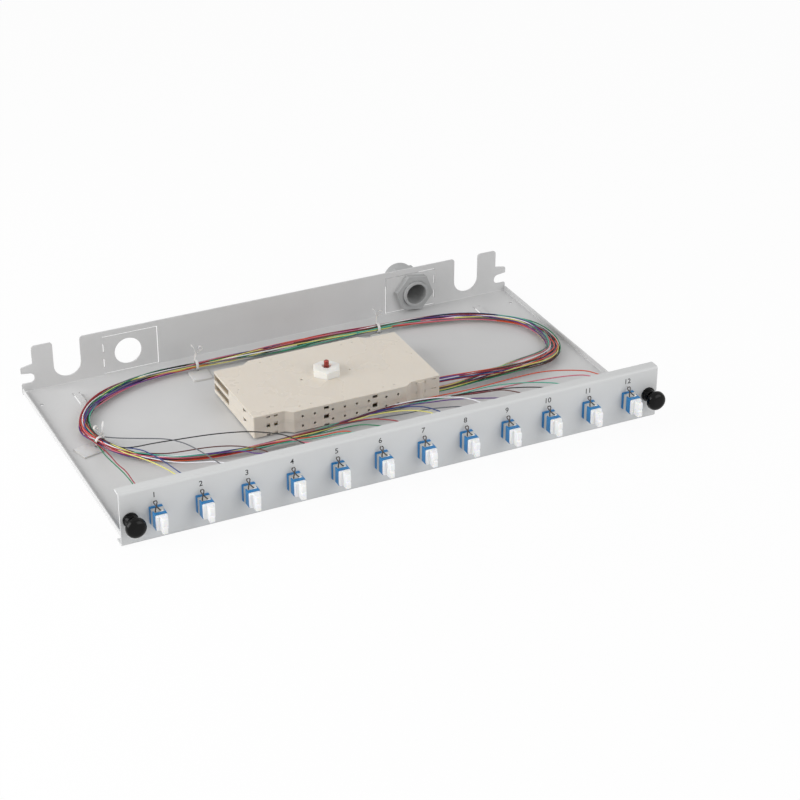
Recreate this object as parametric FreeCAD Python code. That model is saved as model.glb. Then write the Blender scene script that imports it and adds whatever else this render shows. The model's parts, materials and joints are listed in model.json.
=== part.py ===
"""Sliding fibre patch drawer.

A folded steel pan slides into a rack housing on its two side lips. Its front panel carries
duplex adapters in a row and a push latch at each end. A stack of two splice trays stands on
a stud in the middle, the pigtails run in one bundle round it, and the trunk cable comes in
through a gland in the rear wall. Millimetres. While it is built, x = 0 is the middle of the
panel, y = 0 its front face and z = 0 its lowest edge. At the end everything is moved so
that the origin lies under the middle of the whole drawer, on the surface it stands on.
"""
import FreeCAD, Part
import math
import os

V = FreeCAD.Vector

# Front panel, a channel folded from one sheet
PANEL_WIDTH = 440.0
PANEL_HEIGHT = 43.6
PANEL_SHEET = 1.5
PANEL_BEND = 0.7
TOP_RETURN = 9.0
BOTTOM_RETURN = 10.0

# Drawer pan, folded from one sheet and welded on the panel's bottom return
PAN_WIDTH = 435.4
PAN_DEPTH = 244.5
PAN_SHEET = 1.2
PAN_BEND = 0.6
PAN_FRONT_GAP = 0.8
LIP_HEIGHT = 5.4
LIP_RELIEF = 1.6

# Rear wall: heights are above the underside of the pan
WALL_HEIGHT = 40.2
WALL_CORNER = 2.5
SIDE_SLOT_HEIGHT = 7.8
SIDE_SLOT_FLARE = 1.4
SIDE_SLOT_DEPTH = 10.9
SIDE_SLOT_LEVEL = 12.4
PRONG_TIP_HEIGHT = 5.1
PRONG_RISE = 1.9
BLOCK_INSET = 9.9
BLOCK_WIDTH = 17.4
CABLE_NOTCH_WIDTH = 22.6
CABLE_NOTCH_FLOOR = 7.6

# Break-out plates in the rear wall, held by small ties, each with a round entry
PLATE_INSET = 92.1
PLATE_WIDTH = 46.0
PLATE_HEIGHT = 32.8
PLATE_FLOOR = 2.3
SLIT_WIDTH = 1.0
SHORT_SLIT = 7.6
SHORT_SLIT_SPREAD = 6.8
ENTRY_OFFSET = 2.4
ENTRY_LEVEL = 18.8
ENTRY_DIAMETER = 22.8

# Pan floor: fixing holes and lanced loops for cable ties, placed from the sides and the rear wall
FLOOR_HOLE_INSET = 7.9
FLOOR_HOLE_REAR = 25.7
FLOOR_HOLE_DIAMETER = 3.2
TIE_LOOP_INSET = 38.3
TIE_LOOP_REAR = 30.0
TIE_LOOP_LENGTH = 22.0
TIE_LOOP_WIDTH = 4.8
TIE_LOOP_SLIT = 0.6
TIE_LOOP_EYE = 1.5
TIE_LOOP_RISE = 1.5

# Duplex adapters in a row, the first and the last at the same distance from the panel's ends
ADAPTER_COUNT = 12
ADAPTER_MARGIN = 26.62
ADAPTER_LEVEL = 21.0
ADAPTER_WIDTH = 9.2
ADAPTER_HEIGHT = 12.8
ADAPTER_FRONT = 11.6
ADAPTER_REAR = 11.5
ADAPTER_CORNER = 0.5
FLANGE_RIM = 0.4
FLANGE_THICKNESS = 2.0
CUT_CLEARANCE = 0.2
PORT_SIZE = 5.2
PORT_SPACING = 6.25
PORT_WALL_FRONT = 2.5
PORT_WALL_REAR = 1.5
CLIP_BAND = 3.6
CLIP_SHEET = 0.3
CLIP_PLATE_RIM = 0.9
CLIP_PLATE_FRONT = 2.8
CLIP_PLATE_SETBACK = 0.6
CLIP_SPRING_RISE = 5.4
CLIP_SPRING_WIDTH = 0.7
SLEEVE_DIAMETER = 2.0
SLEEVE_LENGTH = 6.2
FERRULE_DIAMETER = 1.25
FERRULE_GAP = 0.03

# Dust caps, pulled off forwards
CAP_GAP = 0.15
CAP_PLUG_DEPTH = 6.5
CAP_PLUG_CLEARANCE = 0.25
CAP_PLATE_WIDTH = 8.8
CAP_PLATE_HEIGHT = 11.6
CAP_PLATE_THICKNESS = 2.0
CAP_GRIP_REACH = 6.4
CAP_GRIP_WIDTH = 3.4
CAP_LOBE_RADIUS = 3.1
CAP_LOBE_SPACING = 6.0

# Pigtail connectors in the rear ports
CONNECTOR_SIZE = 4.5
CONNECTOR_LENGTH = 20.0
CONNECTOR_SEAT = 1.2
BOOT_LENGTH = 13.0
BOOT_FRONT_DIAMETER = 3.4
BOOT_REAR_DIAMETER = 2.0

# Push latches at both ends of the panel
LATCH_INSET = 7.7
LATCH_LEVEL = 21.0
LATCH_FLANGE_DIAMETER = 11.6
LATCH_FLANGE_THICKNESS = 1.6
LATCH_COLLAR_DIAMETER = 10.4
LATCH_COLLAR_LENGTH = 5.0
LATCH_BARREL_DIAMETER = 8.0
LATCH_BARREL_LENGTH = 12.0
LATCH_SHOULDER_DIAMETER = 8.4
LATCH_HOLE_CLEARANCE = 0.15
LATCH_SLOT_WIDTH = 1.0
LATCH_SLOT_TURN = 22.5
LATCH_STEM_DIAMETER = 5.0
LATCH_STEM_CLEARANCE = 0.06
LATCH_NECK_DIAMETER = 7.2
LATCH_NECK_LENGTH = 2.5
LATCH_NECK_CLEARANCE = 0.4
LATCH_KNOB_DIAMETER = 15.6
LATCH_KNOB_EDGE = 1.4
LATCH_KNOB_HEIGHT = 5.8
LATCH_TRAVEL = 5.0
LATCH_STOP_GAP = 0.3

# Splice cassette: two trays and a lid on one stud
CASSETTE_X = -0.6
CASSETTE_Y = 136.5
CASSETTE_LENGTH = 159.0
CASSETTE_END_WIDTH = 83.0
CASSETTE_MIDDLE_WIDTH = 92.6
CASSETTE_MIDDLE_LENGTH = 96.0
CASSETTE_STEP = 6.0
CASSETTE_CORNER = 1.2
CASSETTE_FOOT = 1.5
TRAY_HEIGHT = 8.2
TRAY_WALL = 1.3
TRAY_FLOOR = 1.2
TRAY_HUB_DIAMETER = 14.0
LID_THICKNESS = 1.7
# Small holes in the lid, measured from the stud: x, y, diameter
LID_HOLES = [(-22.0, -1.1, 2.2), (19.2, -1.9, 1.6)]
# Slots of the lid's hooks along its long edges, and holes at its short ends, the same on both sides
LID_SLOT_PLACES = [30.6, 40.4]
LID_SLOT_INSET = 1.9
LID_SLOT_LENGTH = 1.8
LID_SLOT_WIDTH = 0.7
LID_END_HOLES = [(6.5, 5.3), (4.3, 1.4), (6.8, -4.2)]
LID_END_HOLE_DIAMETER = 0.9
SEAT_GAP = 0.05
ENTRY_SLOT_WIDTH = 8.0
ENTRY_SLOT_INSET = 1.6
PIN_HOLE_DIAMETER = 2.2
PIN_HOLE_LEVEL = 4.3
PIN_HOLE_PLACES = [5.1, 15.3, 30.5, 40.7]
WINDOW_PLACE = 20.7
WINDOW_WIDTH = 4.4
WINDOW_HEIGHT = 2.5
WINDOW_FOOT = 1.7
END_WINDOW_PLACES = [61.0, 67.3]
END_WINDOW_WIDTH = 3.2
END_WINDOW_HEIGHT = 1.4
END_WINDOW_FOOT = 2.2
END_SLIT_PLACE = 74.2
END_SLIT_LENGTH = 4.2
END_SLIT_HEIGHT = 0.8
OPEN_SIDE_START = 10.0
OPEN_SIDE_SILL = 2.8
# Three-cornered window in the left wall: how far in front of the stud it starts and ends, and its depth
CORNER_WINDOW = (20.2, 28.4)
CORNER_WINDOW_DEPTH = 2.9
SNAP_PLACE = 62.5
SNAP_DIAMETER = 11.0
SNAP_REACH = 1.2
SNAP_SLIT_PLACE = 3.9
SNAP_SLIT_WIDTH = 0.5
SNAP_SLIT_DEPTH = 2.4
SPLICE_SLOTS = 6
SPLICE_PITCH = 3.2
SPLICE_LAYERS = 2
SPLICE_DIAMETER = 2.4
SPLICE_LENGTH = 40.0
COMB_RIB = 0.6
COMB_LENGTH = 26.0
COMB_BASE = 0.8
COMB_OFFSET = 18.5
COIL_SECTION = 3.0
COIL_INSET = 5.5
COIL_RADIUS = 26.0

# Stud and hand nut
STUD_DIAMETER = 4.0
STUD_REACH = 4.9
STUD_CLEARANCE = 0.7
NUT_FLATS = 20.5
NUT_HEIGHT = 6.6
NUT_CLEARANCE = 0.08
NUT_CHAMFER = 1.5
NUT_TURN = 8.0
NUT_SINK_DIAMETER = 7.4
NUT_SINK_DEPTH = 1.6

# Cable gland in the right-hand entry
GLAND_FLATS = 28.0
GLAND_COLLAR_LENGTH = 6.0
GLAND_THREAD_DIAMETER = 22.5
GLAND_STUB_REACH = 8.0
GLAND_REAR_THREAD_DIAMETER = 20.0
GLAND_REAR_THREAD_LENGTH = 12.0
GLAND_BORE_DIAMETER = 18.0
GLAND_THREAD_CLEARANCE = 0.08
GASKET_THICKNESS = 1.5
GASKET_DIAMETER = 27.0
LOCKNUT_FLATS = 30.0
LOCKNUT_HEIGHT = 5.5
LOCKNUT_TURN = -9.0
DOME_GAP = 2.3
DOME_HEX_LENGTH = 9.0
DOME_CAP_LENGTH = 14.0
DOME_ROUNDING = 6.5
DOME_MOUTH_DIAMETER = 13.0
DOME_THREAD_LENGTH = 10.5
SEAL_LENGTH = 7.0
SEAL_BORE_DIAMETER = 10.0
SEAL_GAP = 0.3

# Fibres: one bundle in the drawer, pairs to the adapters, two leads into the trays
BUNDLE_DIAMETER = 6.0
PAIR_DIAMETER = 1.8
LEAD_DIAMETER = 4.0
LEAD_GAP = 0.4
PAIR_REACH = 78.0
PAIR_LEFT_INSET = 49.7
PAIR_STARTS_LOW = 1.5
PAIR_STEP = 14.0
PAIR_LIFT = 2.0
PAIR_SWING = 6.0
PAIR_SWING_END = 13.0
PAIR_SIDESTEP = 2.0
PAIR_SAG = 3.0
LEAD_TURN = 24.0
LEAD_STRAIGHT = 14.0
LEAD_SPACING = 1.2
LEAD_RISE = 3.4
LEAD_INSIDE = 0.2
PAIR_GAP = 0.3
PAIR_SLANT = 1.2
PAIR_FORK = 7.0

# Cable clips: a moulded strap and base on a foam pad
CLIP_FOAM = 0.8
CLIP_BASE = 16.0
CLIP_WEB = 0.8
CLIP_RING_GAP = 0.4
CLIP_RING_WIDTH = 2.6
CLIP_STEM_HEIGHT = 8.0
CLIP_EAR = 3.0
CLIP_BASE_LAP = 1.0

# Levels and places that follow from the sizes above
PAN_UNDER = PANEL_SHEET
FLOOR_TOP = PAN_UNDER + PAN_SHEET
WALL_TOP = PAN_UNDER + WALL_HEIGHT
PAN_FRONT = PANEL_SHEET + PANEL_BEND + PAN_FRONT_GAP
LIP_END = PAN_DEPTH - LIP_RELIEF
WALL_BACK = PAN_DEPTH + PAN_SHEET
TRAY_BASE = FLOOR_TOP + CASSETTE_FOOT
LID_BASE = TRAY_BASE + 2 * (TRAY_HEIGHT + SEAT_GAP)
NUT_BASE = LID_BASE + LID_THICKNESS + SEAT_GAP
ENTRY_Z = PAN_UNDER + ENTRY_LEVEL
BUNDLE_Z = FLOOR_TOP + CLIP_FOAM + CLIP_WEB + CLIP_RING_GAP + BUNDLE_DIAMETER / 2
BOOT_END = PORT_WALL_REAR + CONNECTOR_SEAT + CONNECTOR_LENGTH + BOOT_LENGTH
ADAPTER_PITCH = (PANEL_WIDTH - 2 * ADAPTER_MARGIN) / (ADAPTER_COUNT - 1)
LATCH_PLACE = PANEL_WIDTH / 2 - LATCH_INSET
LEFT = -PAN_WIDTH / 2
RIGHT = PAN_WIDTH / 2
REAR = PAN_DEPTH
PLATE_PLACE = RIGHT - PLATE_INSET
ENTRY_PLACE = PLATE_PLACE + ENTRY_OFFSET
STUD_HOLE_DIAMETER = STUD_DIAMETER + 2 * STUD_CLEARANCE

# Route of the bundle seen from above, from the front of the cassette, left, behind it and round to the right.
# Where it turns back, its points keep their distance from the pan's sides and from its rear.
BUNDLE_ROUTE = [
    (72, 87.5), (38, 84.5), (4, 80.5), (-30, 77), (-64, 75.8), (-98, 76.5), (LEFT + 79.7, 82),
    (LEFT + 50.7, 97), (LEFT + 31.7, 122), (LEFT + 24.7, 150), (LEFT + 30.7, REAR - 64.5),
    (LEFT + 51.7, REAR - 40.5), (LEFT + 83.7, REAR - 25.5), (-98, REAR - 23), (-56, REAR - 26),
    (-10, REAR - 28), (36, REAR - 28), (80, REAR - 27.5), (RIGHT - 96.7, REAR - 31.5),
    (RIGHT - 61.7, REAR - 41.5), (RIGHT - 32.7, REAR - 62.5), (RIGHT - 17.7, 153), (RIGHT - 18.7, 124),
    (RIGHT - 35.7, 101), (RIGHT - 65.7, 94),
]
# Each clip: a place beside the bundle, and the side on which its pad lies, -1 outside the loop and 1 inside
CLIP_PLACES = [(LEFT + 28.2, 136, -1), (-79.1, REAR - 24.3, 1), (82.1, REAR - 27.7, 1)]

NORMALS = {"xy": V(0, 0, 1), "xz": V(0, 1, 0), "yz": V(1, 0, 0)}
SIDES = (-1, 1)
parts = {}


def in_plane(plane, u, v, w):
    """Point with coordinates u, v in the plane and w along its normal."""
    return {"xy": V(u, v, w), "xz": V(u, w, v), "yz": V(w, u, v)}[plane]


def closed_wire(corners, plane, level):
    """Wire through corners (u, v, radius), where a radius above 0 rounds the corner with a tangent arc."""
    stations = []
    count = len(corners)
    for i, (u, v, radius) in enumerate(corners):
        here = V(u, v, 0)
        before = V(*corners[i - 1][:2], 0) - here
        after = V(*corners[(i + 1) % count][:2], 0) - here
        before.normalize()
        after.normalize()
        half = before.getAngle(after) / 2
        if radius <= 0 or half > math.pi / 2 - 1e-4:
            stations.append((here, None, here))
            continue
        reach = radius / math.tan(half)
        bisector = before + after
        bisector.normalize()
        middle = here + bisector * (radius / math.sin(half) - radius)
        stations.append((here + before * reach, middle, here + after * reach))

    def lift(point):
        return in_plane(plane, point.x, point.y, level)

    edges = []
    for i, (start, middle, end) in enumerate(stations):
        if middle is not None:
            edges.append(Part.Arc(lift(start), lift(middle), lift(end)).toShape())
        following = stations[(i + 1) % count][0]
        if end.distanceToPoint(following) > 1e-6:
            edges.append(Part.LineSegment(lift(end), lift(following)).toShape())
    return Part.Wire(edges)


def upright(solid):
    """The solid with its faces pointing outwards."""
    if solid.Volume < 0:
        solid.reverse()
    return solid


def plate(corners, plane, start, end):
    """Solid with this outline in the plane, from start to end along the plane's normal."""
    face = Part.Face(closed_wire(corners, plane, start))
    return upright(face.extrude(NORMALS[plane] * (end - start)))


def block(x0, x1, y0, y1, z0, z1):
    """Rectangular block between two corners."""
    return Part.makeBox(x1 - x0, y1 - y0, z1 - z0, V(x0, y0, z0))


def rod(diameter, start, end, plane, u, v):
    """Round rod along the plane's normal through the point u, v."""
    return Part.makeCylinder(diameter / 2, end - start, in_plane(plane, u, v, start), NORMALS[plane])


def turned_y(corners, x, z):
    """Solid of revolution about a line along y: corners are (radius, y, corner radius)."""
    face = Part.Face(closed_wire([(x + r, y, c) for r, y, c in corners], "xy", z))
    return upright(face.revolve(V(x, 0, z), V(0, 1, 0), 360))


def turned_z(corners, x, y):
    """Solid of revolution about a line along z: corners are (radius, z, corner radius)."""
    face = Part.Face(closed_wire([(x + r, z, c) for r, z, c in corners], "xz", y))
    return upright(face.revolve(V(x, y, 0), V(0, 0, 1), 360))


def hexagon(flats, u, v, turn=0.0):
    """Corners of a hexagon with this size across its flats, first corner at the angle turn."""
    radius = flats / math.sqrt(3)
    angles = [math.radians(turn + 60 * i) for i in range(6)]
    return [(u + radius * math.cos(a), v + radius * math.sin(a), 0) for a in angles]


def rectangle(u0, u1, v0, v1, radius=0.0):
    """Corners of a rectangle."""
    return [(u0, v0, radius), (u1, v0, radius), (u1, v1, radius), (u0, v1, radius)]


def tube(points, diameter):
    """Round tube along straight runs joined by the largest tangent arcs that the runs allow."""
    nodes = [V(*p) for p in points]
    edges = []
    tail = nodes[0]
    for before, here, after in zip(nodes, nodes[1:], nodes[2:]):
        back = before - here
        ahead = after - here
        run = min(back.Length, ahead.Length)
        back.normalize()
        ahead.normalize()
        reach = 0.45 * run
        half = back.getAngle(ahead) / 2
        radius = reach * math.tan(half)
        bisector = back + ahead
        bisector.normalize()
        start = here + back * reach
        end = here + ahead * reach
        middle = here + bisector * (radius / math.sin(half) - radius)
        edges.append(Part.LineSegment(tail, start).toShape())
        edges.append(Part.Arc(start, middle, end).toShape())
        tail = end
    edges.append(Part.LineSegment(tail, nodes[-1]).toShape())
    path = Part.Wire(edges)
    ring = Part.Wire(Part.Circle(nodes[0], nodes[1] - nodes[0], diameter / 2).toShape())
    return upright(path.makePipeShell([ring], True, False))


def adapter_places():
    """Where the adapters stand along the panel."""
    first = -ADAPTER_PITCH * (ADAPTER_COUNT - 1) / 2
    return [first + ADAPTER_PITCH * i for i in range(ADAPTER_COUNT)]


def port_levels():
    """Heights of the two ports of an adapter."""
    return [ADAPTER_LEVEL + side * PORT_SPACING / 2 for side in SIDES]


def adapter_box(y0, y1, grow=0.0, corner=0.0, x=0.0):
    """Upright box of the adapter's section, grown on every side."""
    half_width = ADAPTER_WIDTH / 2 + grow
    half_height = ADAPTER_HEIGHT / 2 + grow
    low = ADAPTER_LEVEL - half_height
    return plate(rectangle(x - half_width, x + half_width, low, low + 2 * half_height, corner), "xz", y0, y1)


def make_front_panel():
    """Channel-shaped front panel with the adapter cut-outs and the latch holes."""
    outer = PANEL_BEND + PANEL_SHEET
    profile = [
        (BOTTOM_RETURN, 0, 0), (0, 0, outer), (0, PANEL_HEIGHT, outer), (TOP_RETURN, PANEL_HEIGHT, 0),
        (TOP_RETURN, PANEL_HEIGHT - PANEL_SHEET, 0), (PANEL_SHEET, PANEL_HEIGHT - PANEL_SHEET, PANEL_BEND),
        (PANEL_SHEET, PANEL_SHEET, PANEL_BEND), (BOTTOM_RETURN, PANEL_SHEET, 0),
    ]
    panel = plate(profile, "yz", -PANEL_WIDTH / 2, PANEL_WIDTH / 2)
    cuts = [adapter_box(-1, PANEL_SHEET + 1, CUT_CLEARANCE, x=x) for x in adapter_places()]
    hole = LATCH_SHOULDER_DIAMETER + 2 * LATCH_HOLE_CLEARANCE
    cuts += [rod(hole, -1, PANEL_SHEET + 1, "xz", side * LATCH_PLACE, LATCH_LEVEL) for side in SIDES]
    parts["front_panel"] = panel.cut(cuts)


def wall_outline():
    """Outline of the rear wall: side slots, prongs and cable notches, the same on both sides."""
    reach = PAN_WIDTH / 2
    slot_radius = SIDE_SLOT_HEIGHT / 2
    slot_low = PAN_UNDER + SIDE_SLOT_LEVEL - slot_radius
    slot_high = slot_low + SIDE_SLOT_HEIGHT
    slot_end = reach - SIDE_SLOT_DEPTH
    mouth_high = slot_high + SIDE_SLOT_FLARE
    block_side = reach - BLOCK_INSET
    notch_outer = block_side - BLOCK_WIDTH
    notch_inner = notch_outer - CABLE_NOTCH_WIDTH
    notch_low = PAN_UNDER + CABLE_NOTCH_FLOOR
    notch_radius = CABLE_NOTCH_WIDTH / 2
    right = [
        (reach, PAN_UNDER, 0), (reach, slot_low, 1.2),
        (slot_end, slot_low, slot_radius), (slot_end, slot_high, slot_radius),
        (reach, mouth_high, 0.8), (reach, mouth_high + PRONG_TIP_HEIGHT, 1.2),
        (block_side, mouth_high + PRONG_TIP_HEIGHT + PRONG_RISE, 1.2),
        (block_side, WALL_TOP, WALL_CORNER), (notch_outer, WALL_TOP, WALL_CORNER),
        (notch_outer, notch_low, notch_radius), (notch_inner, notch_low, notch_radius),
        (notch_inner, WALL_TOP, WALL_CORNER),
    ]
    left = [(-x, z, radius) for x, z, radius in reversed(right)]
    return right + left


def breakout_slits(side):
    """Slits round the break-out plate on one side of the rear wall."""
    inner = side * (PLATE_PLACE - PLATE_WIDTH / 2)
    outer = side * (PLATE_PLACE + PLATE_WIDTH / 2)
    low = PAN_UNDER + PLATE_FLOOR
    high = low + PLATE_HEIGHT
    middle = (low + high) / 2
    left, right = sorted((inner, outer))
    half = SLIT_WIDTH / 2

    def slit(x0, x1, z0, z1):
        return block(x0, x1, PAN_DEPTH - 1, WALL_BACK + 1, z0, z1)

    level = [slit(left - half, right + half, z - half, z + half) for z in (low, high)]
    full = [slit(inner - half, inner + half, low - half, high + half)]
    short = []
    for step in SIDES:
        centre = middle + step * SHORT_SLIT_SPREAD
        short.append(slit(outer - half, outer + half, centre - SHORT_SLIT / 2, centre + SHORT_SLIT / 2))
    return level + full + short


def tie_loop(x):
    """Strip of the floor between two slits, pressed up into a low loop for a cable tie."""
    ramp = 3 * TIE_LOOP_RISE
    far = PAN_DEPTH - TIE_LOOP_REAR + TIE_LOOP_LENGTH / 2
    near = far - TIE_LOOP_LENGTH
    top = FLOOR_TOP + TIE_LOOP_RISE
    profile = [
        (near, PAN_UNDER, 0), (near + PAN_SHEET, PAN_UNDER, 0), (near + ramp, top - PAN_SHEET, 1),
        (far - ramp, top - PAN_SHEET, 1), (far - PAN_SHEET, PAN_UNDER, 0), (far, PAN_UNDER, 0),
        (far, FLOOR_TOP, 0), (far - PAN_SHEET, FLOOR_TOP, 0), (far - ramp, top, 1),
        (near + ramp, top, 1), (near + PAN_SHEET, FLOOR_TOP, 0), (near, FLOOR_TOP, 0),
    ]
    side = TIE_LOOP_WIDTH / 2
    reach = side + TIE_LOOP_SLIT
    low, high = PAN_UNDER - 1, FLOOR_TOP + 1
    window = block(x - reach, x + reach, near, far, low, high)
    ends = [block(x - side, x + side, y, y + PAN_SHEET, PAN_UNDER, FLOOR_TOP) for y in (near, far - PAN_SHEET)]
    out = side + TIE_LOOP_SLIT / 2
    eyes = [rod(TIE_LOOP_EYE, low, high, "xy", x + u * out, y) for u in SIDES for y in (near, far)]
    return window.fuse(eyes).cut(ends), plate(profile, "yz", x - side, x + side)


def make_drawer_pan():
    """Pan with side lips and tie loops, and the rear wall with its notches and break-out plates."""
    half = PAN_WIDTH / 2
    outer = PAN_BEND + PAN_SHEET
    lip_top = PAN_UNDER + LIP_HEIGHT
    section = [
        (-half, PAN_UNDER, outer), (half, PAN_UNDER, outer), (half, lip_top, 0.4),
        (half - PAN_SHEET, lip_top, 0.4), (half - PAN_SHEET, FLOOR_TOP, PAN_BEND),
        (PAN_SHEET - half, FLOOR_TOP, PAN_BEND), (PAN_SHEET - half, lip_top, 0.4), (-half, lip_top, 0.4),
    ]
    tray = plate(section, "xz", PAN_FRONT, LIP_END)
    bend = [
        (LIP_END, PAN_UNDER, 0), (WALL_BACK, PAN_UNDER, outer), (WALL_BACK, WALL_TOP, 0),
        (PAN_DEPTH, WALL_TOP, 0), (PAN_DEPTH, FLOOR_TOP, PAN_BEND), (LIP_END, FLOOR_TOP, 0),
    ]
    wall = plate(bend, "yz", -half, half).common(plate(wall_outline(), "xz", LIP_END - 1, WALL_BACK + 1))
    cuts = [slit for side in SIDES for slit in breakout_slits(side)]
    for side in SIDES:
        cuts.append(rod(ENTRY_DIAMETER, PAN_DEPTH - 1, WALL_BACK + 1, "xz", side * ENTRY_PLACE, ENTRY_Z))
    parts["rear_wall"] = wall.cut(cuts).removeSplitter()
    loops = [tie_loop(side * (half - TIE_LOOP_INSET)) for side in SIDES]
    holes = [window for window, _ in loops]
    for side in SIDES:
        holes.append(rod(FLOOR_HOLE_DIAMETER, PAN_UNDER - 1, FLOOR_TOP + 1, "xy",
                         side * (half - FLOOR_HOLE_INSET), PAN_DEPTH - FLOOR_HOLE_REAR))
    parts["drawer_pan"] = tray.cut(holes).fuse([strip for _, strip in loops]).removeSplitter()


def make_adapters():
    """Adapter bodies, their spring clips and the alignment sleeves in them."""
    clips = []
    sleeves = []
    groove_end = -FLANGE_THICKNESS - CLIP_PLATE_SETBACK
    groove_start = groove_end - CLIP_BAND
    for number, x in enumerate(adapter_places(), 1):
        body = adapter_box(-ADAPTER_FRONT, ADAPTER_REAR, 0, ADAPTER_CORNER, x)
        body = body.fuse(adapter_box(-FLANGE_THICKNESS, 0, FLANGE_RIM, ADAPTER_CORNER, x))
        top = ADAPTER_LEVEL + ADAPTER_HEIGHT / 2
        saddle = block(x - ADAPTER_WIDTH / 2 + CLIP_PLATE_RIM, x + ADAPTER_WIDTH / 2 - CLIP_PLATE_RIM,
                       CLIP_PLATE_FRONT - ADAPTER_FRONT, groove_end, top - CLIP_SHEET, top)
        cuts = [saddle, adapter_box(groove_start, groove_end, 1, 0, x).cut(
            adapter_box(groove_start, groove_end, -CLIP_SHEET, 0, x))]
        for level in port_levels():
            opening = rectangle(x - PORT_SIZE / 2, x + PORT_SIZE / 2, level - PORT_SIZE / 2, level + PORT_SIZE / 2)
            cuts.append(plate(opening, "xz", -ADAPTER_FRONT - 1, -PORT_WALL_FRONT))
            cuts.append(plate(opening, "xz", PORT_WALL_REAR, ADAPTER_REAR + 1))
            cuts.append(rod(SLEEVE_DIAMETER, -PORT_WALL_FRONT - 1, PORT_WALL_REAR + 1, "xz", x, level))
            middle = (PORT_WALL_REAR - PORT_WALL_FRONT) / 2
            shell = rod(SLEEVE_DIAMETER, middle - SLEEVE_LENGTH / 2, middle + SLEEVE_LENGTH / 2, "xz", x, level)
            bore = FERRULE_DIAMETER + 2 * FERRULE_GAP
            sleeves.append(shell.cut(rod(bore, middle - SLEEVE_LENGTH, middle + SLEEVE_LENGTH, "xz", x, level)))
        parts[f"adapter_body_{number:02d}"] = body.cut(cuts)

        strap = adapter_box(groove_start, groove_end, 0, 0, x).cut(
            adapter_box(groove_start, groove_end, -CLIP_SHEET, 0, x))
        under = top - ADAPTER_HEIGHT
        open_foot = block(x - ADAPTER_WIDTH, x + ADAPTER_WIDTH, groove_start - 1, groove_end + 1,
                          under - 1, under + CLIP_SHEET + 0.2)
        strap = strap.fuse(saddle).cut(open_foot)
        for side in SIDES:
            lean = side * ADAPTER_WIDTH * 0.22
            leg = [
                (x - lean - CLIP_SPRING_WIDTH / 2, top - CLIP_SHEET / 2, 0),
                (x - lean + CLIP_SPRING_WIDTH / 2, top - CLIP_SHEET / 2, 0),
                (x + lean + CLIP_SPRING_WIDTH / 2, top + CLIP_SPRING_RISE, 0),
                (x + lean - CLIP_SPRING_WIDTH / 2, top + CLIP_SPRING_RISE, 0),
            ]
            start = groove_end - 0.2 - (side + 2) * CLIP_SHEET
            strap = strap.fuse(plate(leg, "xz", start, start + 2 * CLIP_SHEET))
        clips.append(strap.removeSplitter())
    parts["adapter_clips"] = Part.makeCompound(clips)
    parts["alignment_sleeves"] = Part.makeCompound(sleeves)


def make_dust_caps():
    """One dust cap for each adapter: a plate, two plugs and a grip fin with two lobes."""
    face = -ADAPTER_FRONT - CAP_GAP
    front = face - CAP_PLATE_THICKNESS
    tip = front - CAP_GRIP_REACH
    plug_size = PORT_SIZE - 2 * CAP_PLUG_CLEARANCE
    lobes = [ADAPTER_LEVEL + side * CAP_LOBE_SPACING / 2 for side in SIDES]
    for number, x in enumerate(adapter_places(), 1):
        half_height = CAP_PLATE_HEIGHT / 2
        cap = plate(rectangle(x - CAP_PLATE_WIDTH / 2, x + CAP_PLATE_WIDTH / 2,
                              ADAPTER_LEVEL - half_height, ADAPTER_LEVEL + half_height, 0.8), "xz", front, face)
        for level in port_levels():
            half = plug_size / 2
            plug = rectangle(x - half, x + half, level - half, level + half, 0.6)
            cap = cap.fuse(plate(plug, "xz", face, face + CAP_GAP + CAP_PLUG_DEPTH))
        radius = CAP_LOBE_RADIUS
        fin = [
            (front + 0.5, lobes[0] - radius, 0.0), (front + 0.5, lobes[1] + radius, 0.0),
            (tip, lobes[1] + radius, radius * 0.4), (tip, lobes[1] - radius * 0.7, radius * 0.3),
            (tip + 1.6, ADAPTER_LEVEL, 0.6),
            (tip, lobes[0] + radius * 0.7, radius * 0.3), (tip, lobes[0] - radius, radius * 0.4),
        ]
        cap = cap.fuse(plate(fin, "yz", x - CAP_GRIP_WIDTH / 2, x + CAP_GRIP_WIDTH / 2))
        parts[f"dust_cap_{number:02d}"] = cap.removeSplitter()


def make_pigtails():
    """Connectors in the rear ports with their ferrules and strain-relief boots."""
    connectors = []
    ferrules = []
    boots = []
    nose = PORT_WALL_REAR + CONNECTOR_SEAT
    heel = nose + CONNECTOR_LENGTH
    middle = (PORT_WALL_REAR - PORT_WALL_FRONT) / 2
    half = CONNECTOR_SIZE / 2
    for x in adapter_places():
        for level in port_levels():
            side = [
                (nose, level - half, 0), (heel, level - half, 0), (heel, level + half * 0.7, 0),
                (ADAPTER_REAR + 5, level + half, 0), (nose, level + half, 0),
            ]
            connectors.append(plate(side, "yz", x - half, x + half))
            ferrules.append(rod(FERRULE_DIAMETER, middle + 0.1, nose, "xz", x, level))
            taper = [
                (0, heel, 0), (BOOT_FRONT_DIAMETER / 2, heel, 0),
                (BOOT_REAR_DIAMETER / 2, heel + BOOT_LENGTH, 0), (0, heel + BOOT_LENGTH, 0),
            ]
            boots.append(turned_y(taper, x, level))
    parts["pigtail_connectors"] = Part.makeCompound(connectors)
    parts["pigtail_ferrules"] = Part.makeCompound(ferrules)
    parts["pigtail_boots"] = Part.makeCompound(boots)


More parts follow.
